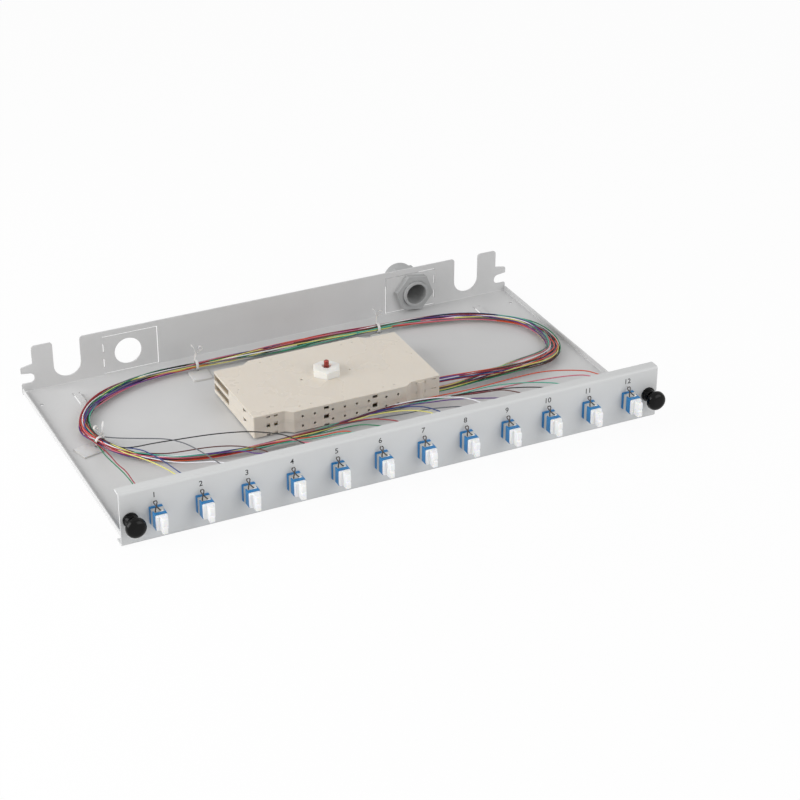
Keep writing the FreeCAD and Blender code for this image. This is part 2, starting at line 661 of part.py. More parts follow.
def make_latches():
    """Push latches: a split grommet in the panel and the knob that spreads it when pushed in."""
    collar_front = -LATCH_COLLAR_LENGTH
    barrel_end = PANEL_SHEET + LATCH_BARREL_LENGTH
    bore = LATCH_STEM_DIAMETER / 2 + LATCH_STEM_CLEARANCE
    recess = LATCH_NECK_DIAMETER / 2 + LATCH_NECK_CLEARANCE
    recess_floor = collar_front + LATCH_NECK_LENGTH + LATCH_STOP_GAP + 0.3
    barrel = LATCH_BARREL_DIAMETER / 2
    shoulder = LATCH_SHOULDER_DIAMETER / 2
    knob_under = collar_front - LATCH_STOP_GAP - LATCH_TRAVEL
    knob = LATCH_KNOB_DIAMETER / 2
    stem = LATCH_STEM_DIAMETER / 2
    neck = LATCH_NECK_DIAMETER / 2
    grommet_profile = [
        (bore, recess_floor, 0), (recess, recess_floor, 0), (recess, collar_front, 0.4),
        (LATCH_COLLAR_DIAMETER / 2 - 0.8, collar_front, 0.6),
        (LATCH_COLLAR_DIAMETER / 2, -LATCH_FLANGE_THICKNESS, 0),
        (LATCH_FLANGE_DIAMETER / 2, -LATCH_FLANGE_THICKNESS, 0.5), (LATCH_FLANGE_DIAMETER / 2, 0, 0),
        (shoulder, 0, 0), (shoulder, PANEL_SHEET, 0), (barrel, PANEL_SHEET, 0), (barrel, barrel_end - 3, 0),
        (barrel - 0.9, barrel_end, 0.3), (bore, barrel_end, 0),
    ]
    stem_end = barrel_end - LATCH_TRAVEL - 0.5
    knob_profile = [
        (0, knob_under - LATCH_KNOB_HEIGHT, 0), (knob * 0.55, knob_under - LATCH_KNOB_HEIGHT, knob * 0.9),
        (knob, knob_under - LATCH_KNOB_EDGE - 1.6, 2.4), (knob, knob_under, 0.6), (neck, knob_under, 0),
        (neck, knob_under + LATCH_NECK_LENGTH, 0), (stem, knob_under + LATCH_NECK_LENGTH, 0),
        (stem, stem_end, 0.8), (0, stem_end, 0),
    ]
    for side, name in zip(SIDES, ("left", "right")):
        x = side * LATCH_PLACE
        grommet = turned_y(grommet_profile, x, LATCH_LEVEL)
        slot = LATCH_SLOT_WIDTH / 2
        reach = LATCH_BARREL_DIAMETER
        slots = [
            block(x - reach, x + reach, PANEL_SHEET + 2.5, barrel_end + 1, LATCH_LEVEL - slot, LATCH_LEVEL + slot),
            block(x - slot, x + slot, PANEL_SHEET + 2.5, barrel_end + 1, LATCH_LEVEL - reach, LATCH_LEVEL + reach),
        ]
        for cut in slots:
            cut.rotate(V(x, 0, LATCH_LEVEL), V(0, 1, 0), LATCH_SLOT_TURN)
        parts[f"latch_grommet_{name}"] = grommet.cut(slots)
        parts[f"latch_knob_{name}"] = turned_y(knob_profile, x, LATCH_LEVEL)


def cassette_outline(inset, corner):
    """Outline of the splice trays, drawn in by inset: wider in the middle than at both ends."""
    length = CASSETTE_LENGTH / 2 - inset
    end = CASSETTE_END_WIDTH / 2 - inset
    middle = CASSETTE_MIDDLE_WIDTH / 2 - inset
    bulge = CASSETTE_MIDDLE_LENGTH / 2 - inset * 0.4
    shoulder = bulge + CASSETTE_STEP
    quarter = [(length, end), (shoulder, end), (bulge, middle)]
    corners = [(u, v) for u, v in quarter]
    corners += [(-u, v) for u, v in reversed(quarter)]
    corners += [(-u, -v) for u, v in quarter]
    corners += [(u, -v) for u, v in reversed(quarter)]
    return [(CASSETTE_X + u, CASSETTE_Y + v, corner) for u, v in corners]


def tray_openings(base):
    """Cuts in a tray's walls: entries, pin holes, windows at the top and the foot, and slits."""
    top = base + TRAY_HEIGHT
    left = CASSETTE_X - CASSETTE_LENGTH / 2
    right = left + CASSETTE_LENGTH
    near = CASSETTE_Y - CASSETTE_END_WIDTH / 2
    far = near + CASSETTE_END_WIDTH
    entry = near + ENTRY_SLOT_INSET
    cuts = [
        rod(STUD_HOLE_DIAMETER, base - 1, top + 1, "xy", CASSETTE_X, CASSETTE_Y),
        block(right - TRAY_WALL - 1, right + 1, entry, entry + ENTRY_SLOT_WIDTH, base + TRAY_FLOOR, top + 1),
        block(left - 1, left + TRAY_WALL + 1, CASSETTE_Y + OPEN_SIDE_START, far - TRAY_WALL,
              base + OPEN_SIDE_SILL, top + 1),
    ]
    start, end = CORNER_WINDOW
    corner = [
        (CASSETTE_Y - end - 0.5, top + 0.2, 0), (CASSETTE_Y - start, top + 0.2, 0),
        (CASSETTE_Y - start - 0.6, top - CORNER_WINDOW_DEPTH, 0),
    ]
    cuts.append(plate(corner, "yz", left - 1, left + TRAY_WALL + 1))
    wall = CASSETTE_MIDDLE_WIDTH / 2

    def windows(x, width, y0, y1, height, foot):
        x0, x1 = x - width / 2, x + width / 2
        return [block(x0, x1, y0, y1, top - height, top + 1), block(x0, x1, y0, y1, base - 1, base + foot)]

    for side in SIDES:
        y0, y1 = sorted((CASSETTE_Y + side * (wall + 1), CASSETTE_Y + side * (wall - TRAY_WALL - 0.2)))
        for end in SIDES:
            for place in PIN_HOLE_PLACES:
                cuts.append(rod(PIN_HOLE_DIAMETER, y0, y1, "xz", CASSETTE_X + end * place, base + PIN_HOLE_LEVEL))
            x = CASSETTE_X + end * WINDOW_PLACE
            cuts += windows(x, WINDOW_WIDTH, y0, y1, WINDOW_HEIGHT, WINDOW_FOOT)
    inside = near + TRAY_WALL + 0.2
    for place in END_WINDOW_PLACES:
        cuts += windows(CASSETTE_X - place, END_WINDOW_WIDTH, near - 1, inside, END_WINDOW_HEIGHT, END_WINDOW_FOOT)
    for place, width, depth in (
        (END_SLIT_PLACE, END_SLIT_LENGTH, END_SLIT_HEIGHT),
        (SNAP_PLACE - SNAP_SLIT_PLACE, SNAP_SLIT_WIDTH, SNAP_SLIT_DEPTH),
        (SNAP_PLACE + SNAP_SLIT_PLACE, SNAP_SLIT_WIDTH, SNAP_SLIT_DEPTH),
    ):
        x = CASSETTE_X + place
        cuts.append(block(x - width / 2, x + width / 2, near - SNAP_REACH - 1, inside, top - depth, top + 1))
    return cuts


def make_tray(name, base):
    """Open splice tray with a hub, a snap bump and the openings of its walls."""
    top = base + TRAY_HEIGHT
    tray = plate(cassette_outline(0, CASSETTE_CORNER), "xy", base, top)
    tray = tray.cut(plate(cassette_outline(TRAY_WALL, 0.6), "xy", base + TRAY_FLOOR, top + 1))
    tray = tray.fuse(rod(TRAY_HUB_DIAMETER, base, top, "xy", CASSETTE_X, CASSETTE_Y))
    near = CASSETTE_Y - CASSETTE_END_WIDTH / 2
    snap = rod(SNAP_DIAMETER, base, top, "xy", CASSETTE_X + SNAP_PLACE, near - SNAP_REACH + SNAP_DIAMETER / 2)
    tray = tray.fuse(snap.common(block(CASSETTE_X, CASSETTE_X + CASSETTE_LENGTH, near - SNAP_DIAMETER,
                                       near + TRAY_WALL, base, top)))
    parts[name] = tray.cut(tray_openings(base)).removeSplitter()


def make_tray_contents(suffix, base):
    """Splice comb, the splices lying in it and the coil of spare fibre along the tray's walls."""
    floor = base + TRAY_FLOOR
    width = SPLICE_SLOTS * SPLICE_PITCH + COMB_RIB
    near = CASSETTE_Y + COMB_OFFSET - width / 2
    left = CASSETTE_X - COMB_LENGTH / 2
    rib_top = floor + COMB_BASE + SPLICE_LAYERS * (SPLICE_DIAMETER + 0.1)
    comb = block(left, left + COMB_LENGTH, near, near + width, floor, floor + COMB_BASE)
    ribs = []
    for i in range(SPLICE_SLOTS + 1):
        y = near + i * SPLICE_PITCH
        ribs.append(block(left, left + COMB_LENGTH, y, y + COMB_RIB, floor, rib_top))
    parts[f"splice_comb_{suffix}"] = comb.fuse(ribs).removeSplitter()

    splices = []
    start = CASSETTE_X - SPLICE_LENGTH / 2
    for i in range(SPLICE_SLOTS):
        y = near + COMB_RIB / 2 + (i + 0.5) * SPLICE_PITCH
        for layer in range(SPLICE_LAYERS):
            z = floor + COMB_BASE + 0.05 + SPLICE_DIAMETER / 2 + layer * (SPLICE_DIAMETER + 0.05)
            splices.append(rod(SPLICE_DIAMETER, start, start + SPLICE_LENGTH, "yz", y, z))
    parts[f"splices_{suffix}"] = Part.makeCompound(splices)

    half_length = CASSETTE_LENGTH / 2 - TRAY_WALL - COIL_INSET
    half_width = CASSETTE_END_WIDTH / 2 - TRAY_WALL - COIL_INSET

    def ring(inset):
        radius = COIL_RADIUS - inset
        return rectangle(CASSETTE_X - half_length + inset, CASSETTE_X + half_length - inset,
                         CASSETTE_Y - half_width + inset, CASSETTE_Y + half_width - inset, radius)

    low = floor + 0.1
    coil = plate(ring(0), "xy", low, low + COIL_SECTION)
    parts[f"fibre_coil_{suffix}"] = coil.cut(plate(ring(COIL_SECTION), "xy", low - 1, low + COIL_SECTION + 1))


def make_cassette():
    """Two stacked trays, the lid, the stud they stand on and the hand nut."""
    upper_base = TRAY_BASE + TRAY_HEIGHT + SEAT_GAP
    make_tray("splice_tray_lower", TRAY_BASE)
    make_tray("splice_tray_upper", upper_base)
    feet = []
    for u in SIDES:
        for v in SIDES:
            x = CASSETTE_X + u * (CASSETTE_LENGTH / 2 - 10)
            y = CASSETTE_Y + v * (CASSETTE_END_WIDTH / 2 - 10)
            feet.append(rod(7.0, FLOOR_TOP, TRAY_BASE, "xy", x, y))
    parts["splice_tray_lower"] = parts["splice_tray_lower"].fuse(feet).removeSplitter()
    make_tray_contents("lower", TRAY_BASE)
    make_tray_contents("upper", upper_base)
    lid = plate(cassette_outline(0, CASSETTE_CORNER), "xy", LID_BASE, LID_BASE + LID_THICKNESS)
    holes = [(0, 0, STUD_HOLE_DIAMETER)] + LID_HOLES
    for inset, v in LID_END_HOLES:
        holes += [(side * (CASSETTE_LENGTH / 2 - inset), v, LID_END_HOLE_DIAMETER) for side in SIDES]
    low, high = LID_BASE - 1, LID_BASE + LID_THICKNESS + 1
    lid_cuts = [rod(diameter, low, high, "xy", CASSETTE_X + u, CASSETTE_Y + v) for u, v, diameter in holes]
    for u in [side * place for side in SIDES for place in LID_SLOT_PLACES]:
        for v in SIDES:
            x = CASSETTE_X + u
            y = CASSETTE_Y + v * (CASSETTE_END_WIDTH / 2 - LID_SLOT_INSET)
            lid_cuts.append(block(x - LID_SLOT_LENGTH / 2, x + LID_SLOT_LENGTH / 2,
                                  y - LID_SLOT_WIDTH / 2, y + LID_SLOT_WIDTH / 2, low, high))
    parts["splice_lid"] = lid.cut(lid_cuts)
    stud_top = NUT_BASE + NUT_HEIGHT + STUD_REACH
    stud = [
        (0, FLOOR_TOP, 0), (STUD_DIAMETER / 2, FLOOR_TOP, 0), (STUD_DIAMETER / 2, stud_top, 0.7), (0, stud_top, 0),
    ]
    parts["cassette_stud"] = turned_z(stud, CASSETTE_X, CASSETTE_Y)
    nut_top = NUT_BASE + NUT_HEIGHT
    nut = plate(hexagon(NUT_FLATS, CASSETTE_X, CASSETTE_Y, NUT_TURN), "xy", NUT_BASE, nut_top)
    cone = NUT_FLATS / math.sqrt(3)
    envelope = [
        (0, NUT_BASE - 1, 0), (cone, NUT_BASE - 1, 0), (cone, nut_top - NUT_CHAMFER, 0),
        (cone - 2 * NUT_CHAMFER, nut_top, 0), (0, nut_top, 0),
    ]
    nut = nut.common(turned_z(envelope, CASSETTE_X, CASSETTE_Y))
    bore = STUD_DIAMETER + 2 * NUT_CLEARANCE
    sink = [
        (0, nut_top - NUT_SINK_DEPTH, 0), (bore / 2, nut_top - NUT_SINK_DEPTH, 0),
        (NUT_SINK_DIAMETER / 2, nut_top, 0), (NUT_SINK_DIAMETER / 2, nut_top + 1, 0), (0, nut_top + 1, 0),
    ]
    hole = rod(bore, NUT_BASE - 1, nut_top + 1, "xy", CASSETTE_X, CASSETTE_Y)
    parts["hand_nut"] = nut.cut([hole, turned_z(sink, CASSETTE_X, CASSETTE_Y)])


def make_gland():
    """Cable gland: body through the entry, gasket, locknut inside, dome nut and seal outside."""
    x, z = ENTRY_PLACE, ENTRY_Z
    collar_start = WALL_BACK + GASKET_THICKNESS
    collar_end = collar_start + GLAND_COLLAR_LENGTH
    stub_start = PAN_DEPTH - GLAND_STUB_REACH
    thread_end = collar_end + GLAND_REAR_THREAD_LENGTH
    body = plate(hexagon(GLAND_FLATS, x, z), "xz", collar_start, collar_end)
    body = body.fuse(rod(GLAND_THREAD_DIAMETER, stub_start, collar_start, "xz", x, z))
    body = body.fuse(rod(GLAND_REAR_THREAD_DIAMETER, collar_end, thread_end, "xz", x, z))
    parts["gland_body"] = body.cut(rod(GLAND_BORE_DIAMETER, stub_start - 1, thread_end + 1, "xz", x, z))

    gasket = rod(GASKET_DIAMETER, WALL_BACK, collar_start, "xz", x, z)
    loose = GLAND_THREAD_DIAMETER + 2 * GLAND_THREAD_CLEARANCE
    parts["gland_gasket"] = gasket.cut(rod(loose, WALL_BACK - 1, collar_start + 1, "xz", x, z))
    locknut_start = PAN_DEPTH - LOCKNUT_HEIGHT
    locknut = plate(hexagon(LOCKNUT_FLATS, x, z, LOCKNUT_TURN), "xz", locknut_start, PAN_DEPTH)
    parts["gland_locknut"] = locknut.cut(rod(loose, locknut_start - 1, PAN_DEPTH + 1, "xz", x, z))

    dome_start = collar_end + DOME_GAP
    hex_end = dome_start + DOME_HEX_LENGTH
    dome_end = hex_end + DOME_CAP_LENGTH
    dome = plate(hexagon(GLAND_FLATS, x, z), "xz", dome_start, hex_end)
    shoulder = GLAND_FLATS / 2 - 0.2
    cap = [(0, hex_end, 0), (shoulder, hex_end, 0), (shoulder, dome_end, DOME_ROUNDING), (0, dome_end, 0)]
    dome = dome.fuse(turned_y(cap, x, z))
    thread = GLAND_REAR_THREAD_DIAMETER / 2 + GLAND_THREAD_CLEARANCE
    seat = dome_start + DOME_THREAD_LENGTH + SEAL_LENGTH + 2 * SEAL_GAP
    hollow = [
        (0, dome_start - 1, 0), (thread, dome_start - 1, 0), (thread, seat, 0),
        (DOME_MOUTH_DIAMETER / 2, seat + 2, 0), (DOME_MOUTH_DIAMETER / 2, dome_end + 1, 0), (0, dome_end + 1, 0),
    ]
    parts["gland_dome_nut"] = dome.cut(turned_y(hollow, x, z))
    seal_start = thread_end + SEAL_GAP
    seal_diameter = GLAND_REAR_THREAD_DIAMETER - 2 * SEAL_GAP
    seal = rod(seal_diameter, seal_start, seal_start + SEAL_LENGTH, "xz", x, z)
    parts["gland_seal"] = seal.cut(rod(SEAL_BORE_DIAMETER, seal_start - 1, seal_start + SEAL_LENGTH + 1, "xz", x, z))


def route_y(x):
    """Depth of the front run of the bundle at x."""
    front = BUNDLE_ROUTE[:8]
    for (x1, y1), (x0, y0) in zip(front, front[1:]):
        if x0 <= x <= x1:
            return y0 + (y1 - y0) * (x - x0) / (x1 - x0)
    return front[0][1] if x > front[0][0] else front[-1][1]


def nearest_run(x, y):
    """Point of the bundle's route that is nearest to x, y, and the direction of its run in degrees."""
    place = V(x, y, 0)
    best = None
    for (x0, y0), (x1, y1) in zip(BUNDLE_ROUTE, BUNDLE_ROUTE[1:]):
        start = V(x0, y0, 0)
        run = V(x1, y1, 0) - start
        share = min(max((place - start).dot(run) / run.dot(run), 0.0), 1.0)
        foot = start + run * share
        if best is None or foot.distanceToPoint(place) < best[0]:
            best = (foot.distanceToPoint(place), foot, math.degrees(math.atan2(run.y, run.x)))
    return best[1], best[2]


def make_fibres():
    """Fibre bundle round the cassette, a pair to every adapter and a lead into each tray."""
    parts["fibre_bundle"] = tube([(x, y, BUNDLE_Z) for x, y in BUNDLE_ROUTE], BUNDLE_DIAMETER)

    pairs = []
    beside = BUNDLE_DIAMETER / 2 + PAIR_DIAMETER / 2 + PAIR_GAP
    for x in adapter_places():
        start = max(x - PAIR_REACH, LEFT + PAIR_LEFT_INSET)
        slant = PAIR_SLANT if start < BUNDLE_ROUTE[6][0] else 1.0
        y = route_y(start) - beside * slant
        z = BUNDLE_Z - PAIR_STARTS_LOW
        reach = x - start
        if reach < 0.4 * PAIR_REACH:
            points = [
                (start, y, z), (x + 0.35 * (start - x), y - PAIR_STEP, z + PAIR_LIFT),
                (x, y - 2 * PAIR_STEP, z + 4 * PAIR_LIFT),
            ]
        else:
            x2 = start + 0.4 * reach
            x3 = start + 0.78 * reach
            points = [
                (start, y, z), (x2, min(y - PAIR_SWING, route_y(x2) - beside * slant), z + PAIR_LIFT / 4),
                (x3, min(y - PAIR_SWING_END, route_y(x3) - 2 * beside), z + 2 * PAIR_LIFT),
                (x - PAIR_SIDESTEP, BOOT_END + PAIR_STEP, ADAPTER_LEVEL - PAIR_SAG),
            ]
        fork = BOOT_END + PAIR_FORK
        points.append((x, fork, ADAPTER_LEVEL))
        ends = []
        for level in port_levels():
            height = ADAPTER_LEVEL + math.copysign(PAIR_DIAMETER / 4, level - ADAPTER_LEVEL)
            ends.append(tube([(x, fork + 1, height), (x, BOOT_END + 0.1, level)], PAIR_DIAMETER / 2))
        pairs.append(tube(points, PAIR_DIAMETER).fuse(ends))
    parts["fibre_pairs"] = Part.makeCompound(pairs)

    side = CASSETTE_X + CASSETTE_LENGTH / 2
    entry_y = CASSETTE_Y - CASSETTE_END_WIDTH / 2 + ENTRY_SLOT_INSET + ENTRY_SLOT_WIDTH / 2
    end_x, end_y = BUNDLE_ROUTE[-1]
    inside = side - TRAY_WALL - LEAD_INSIDE
    for suffix, base in (("lower", TRAY_BASE), ("upper", TRAY_BASE + TRAY_HEIGHT + SEAT_GAP)):
        level = base + TRAY_FLOOR + LEAD_GAP + LEAD_DIAMETER / 2
        away = end_y if suffix == "lower" else end_y + LEAD_DIAMETER + LEAD_SPACING
        low = BUNDLE_Z if suffix == "lower" else BUNDLE_Z + LEAD_RISE
        points = [
            (end_x - LEAD_GAP, away, low), (end_x - LEAD_TURN, (away + entry_y) / 2, (low * 2 + level) / 3),
            (side + LEAD_STRAIGHT, entry_y, level), (inside, entry_y, level),
        ]
        parts[f"fibre_lead_{suffix}"] = tube(points, LEAD_DIAMETER)


def make_cable_clips():
    """Moulded cable clips round the bundle, each on its foam pad."""
    moulded = []
    pads = []
    ring_bore = BUNDLE_DIAMETER / 2 + CLIP_RING_GAP
    ring = ring_bore + CLIP_WEB
    base_low = FLOOR_TOP + CLIP_FOAM
    near = ring - CLIP_BASE_LAP
    far = near + CLIP_BASE
    half = CLIP_BASE / 2
    for x, y, side in CLIP_PLACES:
        place, heading = nearest_run(x, y)
        band = rod(2 * ring, -CLIP_RING_WIDTH / 2, CLIP_RING_WIDTH / 2, "yz", 0, BUNDLE_Z)
        base = block(-half, half, near, far, base_low, base_low + CLIP_WEB)
        foot = block(-CLIP_RING_WIDTH / 2, CLIP_RING_WIDTH / 2, 0, near + 1, base_low, base_low + CLIP_WEB)
        stem = [
            (-ring, BUNDLE_Z, 0), (-ring + CLIP_WEB, BUNDLE_Z, 0), (-ring + CLIP_WEB, BUNDLE_Z + CLIP_STEM_HEIGHT, 0),
            (-ring + CLIP_WEB + CLIP_EAR, BUNDLE_Z + CLIP_STEM_HEIGHT + CLIP_EAR, 0.3),
            (-ring + CLIP_EAR, BUNDLE_Z + CLIP_STEM_HEIGHT + CLIP_EAR + 0.4, 0.3),
            (-ring + CLIP_WEB / 2, BUNDLE_Z + CLIP_STEM_HEIGHT + 0.8, 0.3),
            (-ring - CLIP_EAR, BUNDLE_Z + CLIP_STEM_HEIGHT + CLIP_EAR, 0.3),
            (-ring - CLIP_EAR - 0.6, BUNDLE_Z + CLIP_STEM_HEIGHT + CLIP_EAR - 0.7, 0.3),
            (-ring, BUNDLE_Z + CLIP_STEM_HEIGHT - 0.6, 0.3),
        ]
        clip = band.fuse([base, foot, plate(stem, "yz", -CLIP_RING_WIDTH / 2, CLIP_RING_WIDTH / 2)])
        clip = clip.cut(rod(2 * ring_bore, -CLIP_RING_WIDTH, CLIP_RING_WIDTH, "yz", 0, BUNDLE_Z)).removeSplitter()
        pad = block(-half, half, near, far, FLOOR_TOP, base_low)
        turn = heading if side < 0 else heading + 180
        for shape, group in ((clip, moulded), (pad, pads)):
            shape.rotate(V(0, 0, 0), V(0, 0, 1), turn)
            shape.translate(place)
            group.append(shape)
    parts["cable_clips"] = Part.makeCompound(moulded)
    parts["clip_foam_pads"] = Part.makeCompound(pads)


def export_parts():
    """Write every part with the origin under the middle of the whole drawer."""
    os.makedirs("parts", exist_ok=True)
    whole = Part.makeCompound(list(parts.values())).BoundBox
    shift = V(-(whole.XMin + whole.XMax) / 2, -(whole.YMin + whole.YMax) / 2, -whole.ZMin)
    for name, shape in parts.items():
        shape.translate(shift)
        shape.exportStep(f"parts/{name}.step")
    print(f"{len(parts)} parts, moved by y {shift.y:.4f}, z {shift.z:.4f}")


make_front_panel()
make_drawer_pan()
make_adapters()
make_dust_caps()
make_pigtails()
make_latches()
make_cassette()
make_gland()
make_fibres()
make_cable_clips()
export_parts()
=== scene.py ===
"""Sliding fibre patch drawer: its looks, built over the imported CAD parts.

Lengths in the data below are millimetres in the panel's own frame: x to the right from the panel's middle,
y to the rear from the panel's face and z up from the lowest edge. place() turns them into scene metres.
"""

import json
import logging
import math
import random
from dataclasses import dataclass, field
from enum import Enum

import bmesh
import bpy
from mathutils import Matrix, Vector


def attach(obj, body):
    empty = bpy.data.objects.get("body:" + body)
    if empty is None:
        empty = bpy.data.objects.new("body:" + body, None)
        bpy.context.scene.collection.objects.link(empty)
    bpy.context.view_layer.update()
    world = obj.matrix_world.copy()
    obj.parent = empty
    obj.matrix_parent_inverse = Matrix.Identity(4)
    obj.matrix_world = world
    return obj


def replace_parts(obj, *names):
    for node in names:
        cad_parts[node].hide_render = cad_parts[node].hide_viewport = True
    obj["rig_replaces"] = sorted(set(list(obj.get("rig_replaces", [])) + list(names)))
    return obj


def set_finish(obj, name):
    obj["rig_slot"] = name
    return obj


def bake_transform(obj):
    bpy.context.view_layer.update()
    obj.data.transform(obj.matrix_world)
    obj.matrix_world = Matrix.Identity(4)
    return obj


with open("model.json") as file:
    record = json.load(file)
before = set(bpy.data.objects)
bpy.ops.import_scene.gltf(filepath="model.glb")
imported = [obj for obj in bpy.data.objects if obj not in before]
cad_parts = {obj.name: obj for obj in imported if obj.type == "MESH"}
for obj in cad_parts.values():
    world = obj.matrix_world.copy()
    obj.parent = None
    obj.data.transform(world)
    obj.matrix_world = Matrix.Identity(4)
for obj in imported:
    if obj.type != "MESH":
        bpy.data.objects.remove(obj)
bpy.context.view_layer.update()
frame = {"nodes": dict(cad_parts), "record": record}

logging.basicConfig(level=logging.INFO, format="%(name)s: %(message)s")
LOG = logging.getLogger("drawer")

# Place of the panel's face in the scene, in millimetres
FACE_Y = -129.175


class FibreColour(Enum):
    """Jacket colours of the strands, in the order of the colour code."""

    BLUE = "#223A74"
    ORANGE = "#CB4C2C"
    GREEN = "#187A52"
    BROWN = "#5B2A26"
    GREY = "#62656B"
    WHITE = "#E6E6EA"
    RED = "#931C2A"
    BLACK = "#0D0D0F"
    YELLOW = "#DAD476"
    VIOLET = "#5A2F7E"
    PINK = "#CF6F81"
    AQUA = "#55AC94"


class Edge(Enum):
    """How far the edges of a moulded or folded piece are rounded, in millimetres."""

    SHEET = 0.18
    SMALL = 0.22
    MOULDED = 0.35
    SOFT = 0.5


@dataclass(frozen=True)
class Finish:
    """Surface of one material.

    Args:
        name: Name of the material.
        colour: Base colour as an sRGB hex code.
        roughness: Mean roughness.
        metallic: 1 for bare metal.
        grain: Width of the finest grain in millimetres.
        relief: Height of that grain in millimetres.
        mottle: Share by which large soft patches lighten or darken the colour.
        scatter: Weight of the light scattered below the surface.
        passes: Weight of the light that passes through.
        shine: Specular level, 0.5 for the index of refraction alone.
        depth: How far scattered light travels, in millimetres.
    """

    name: str
    colour: str
    roughness: float
    metallic: float = 0.0
    grain: float = 0.8
    relief: float = 0.01
    mottle: float = 0.04
    scatter: float = 0.0
    passes: float = 0.0
    shine: float = 0.5
    depth: float = 2.0


# Shares of red, green and blue in how far light travels below a pale moulding
WARM_SCATTER = (1.0, 0.86, 0.66)
# Soft patches in colour and gloss for each metre, so about 36 mm across
PATCH_SCALE = 28.0

# The real grain of mouldings and metals is too fine to show, so it is drawn as coarse as 0.3 to 1.2 mm
FINISHES = {
    # The fine flow of a baked powder breaks up the lamp's reflection into a soft sheen.
    "panel_paint": Finish(
        "Polyester powder coat, panel", "#D1D2D2", 0.5, grain=0.9, relief=0.02, mottle=0.02
    ),
    "pan_paint": Finish("Polyester powder coat, pan", "#CECECE", 0.48, grain=0.9, relief=0.02, mottle=0.02),
    # Smooth dyed mouldings keep a clear but soft-edged highlight.
    "adapter_blue": Finish("Moulded PBT, blue", "#1C78B4", 0.32, grain=0.5, relief=0.006, mottle=0.05),
    "connector_blue": Finish("Moulded PBT, connector blue", "#2E6EB0", 0.3, mottle=0.04),
    # Rolled strip mirrors the pale room; the bent fingers get a dark steel colour, a painted dark reflection
    # of the shaded parts round them, not a real darkening of the steel.
    "clip_steel": Finish(
        "Stainless spring steel strip", "#E4E2DE", 0.38, 1.0, grain=0.3, relief=0.004, mottle=0.08
    ),
    "finger_steel_painted_reflection": Finish(
        "Hardened spring steel", "#484543", 0.34, 1.0, grain=0.3, relief=0.004, mottle=0.1
    ),
    # Polished ceramic is as good as flat, with a small sharp highlight.
    "sleeve_ceramic": Finish("Sintered zirconia", "#EFEEEA", 0.2, mottle=0.02),
    # Undyed soft mouldings let light in, so their shaded sides stay bright.
    "cap_white": Finish(
        "Moulded polyethylene, undyed", "#F7F8F9", 0.36, scatter=0.4, passes=0.04, mottle=0.02
    ),
    # Rubbery skin without gloss, which keeps the grooves of the boots soft.
    "boot_white": Finish("Moulded elastomer, white", "#E9E9E4", 0.5, scatter=0.15, mottle=0.03),
    # Gloss moulding, nearly black with one small highlight on the rounded head.
    "latch_black": Finish(
        "Moulded nylon, black", "#090909", 0.16, grain=1.2, relief=0.003, mottle=0.1, shine=0.16
    ),
    # Cream styrene glows a little at its edges and reflects the key lamp broadly.
    "tray_ivory": Finish(
        "Moulded ABS, ivory", "#DCD3C6", 0.28, grain=1.0, relief=0.004, mottle=0.02, scatter=0.3, depth=3.0
    ),
    # Matt soft moulding that grips the splices.
    "comb_grey": Finish("Moulded TPE, grey", "#C1C0BB", 0.6, mottle=0.05),
    # Shrunk skin, half clear, with a wet-looking highlight along each splice.
    "splice_sleeve": Finish("Heat-shrink polyolefin, clear", "#E2E2DD", 0.2, passes=0.3, mottle=0.03),
    # The thin lacquer gives bare fibre a warm glassy line of light.
    "fibre_coil": Finish("Acrylate-coated glass fibre", "#D9B84C", 0.35, mottle=0.1),
    # Turned and lacquered metal, red with a hard narrow glint.
    "stud_copper": Finish(
        "Copper-lacquered steel", "#9C4A45", 0.34, 1.0, grain=0.4, relief=0.01, mottle=0.12
    ),
    # Undyed moulding, milky, with faint light in its thin edges.
    "nut_white": Finish("Moulded nylon, natural", "#EEEDE8", 0.4, scatter=0.3, passes=0.05, mottle=0.02),
    # Reinforced moulding with a duller gloss; its grey is part its own colour and part painted shade, set as
    # dark as the shaded dome behind the wall.
    "gland_grey": Finish("Moulded polyamide, grey", "#A9AAAA", 0.42, grain=0.7, relief=0.008, mottle=0.04),
    # Matt black that takes in almost all light, so the bore reads as dark.
    "seal_rubber": Finish("Moulded chloroprene rubber", "#1B1B1B", 0.7, mottle=0.1),
    # A strap less than 1 mm thick lets the grey of the pan through.
    "clip_nylon": Finish(
        "Moulded nylon, thin natural", "#EAE8E6", 0.35, scatter=0.3, passes=0.25, mottle=0.03
    ),
    # Cut cells of the foam leave a matt, slightly uneven edge.
    "pad_foam": Finish("Cut polyethylene foam", "#CFCDCA", 0.75, grain=0.4, relief=0.03, mottle=0.04),
    # The ink film is matt and a little uneven where the screen left it thin.
    "print_black": Finish("Screen-printed ink, black", "#1C1C1D", 0.6, grain=0.3, relief=0.0, mottle=0.15),
}


def place(x: float, y: float, z: float) -> Vector:
    """Scene position in metres of a point in the panel's frame in millimetres."""
    return Vector((x, y + FACE_Y, z)) / 1000


def linear(code: str) -> tuple[float, float, float, float]:
    """Linear colour of an sRGB hex code.

    Args:
        code: Colour such as "#C4C4C2".

    Returns:
        Red, green, blue and full opacity.
    """

    def channel(at: int) -> float:
        """Linear value of the two digits at a place in the code."""
        value = int(code[at : at + 2], 16) / 255
        return value / 12.92 if value <= 0.04045 else ((value + 0.055) / 1.055) ** 2.4

    return channel(1), channel(3), channel(5), 1.0


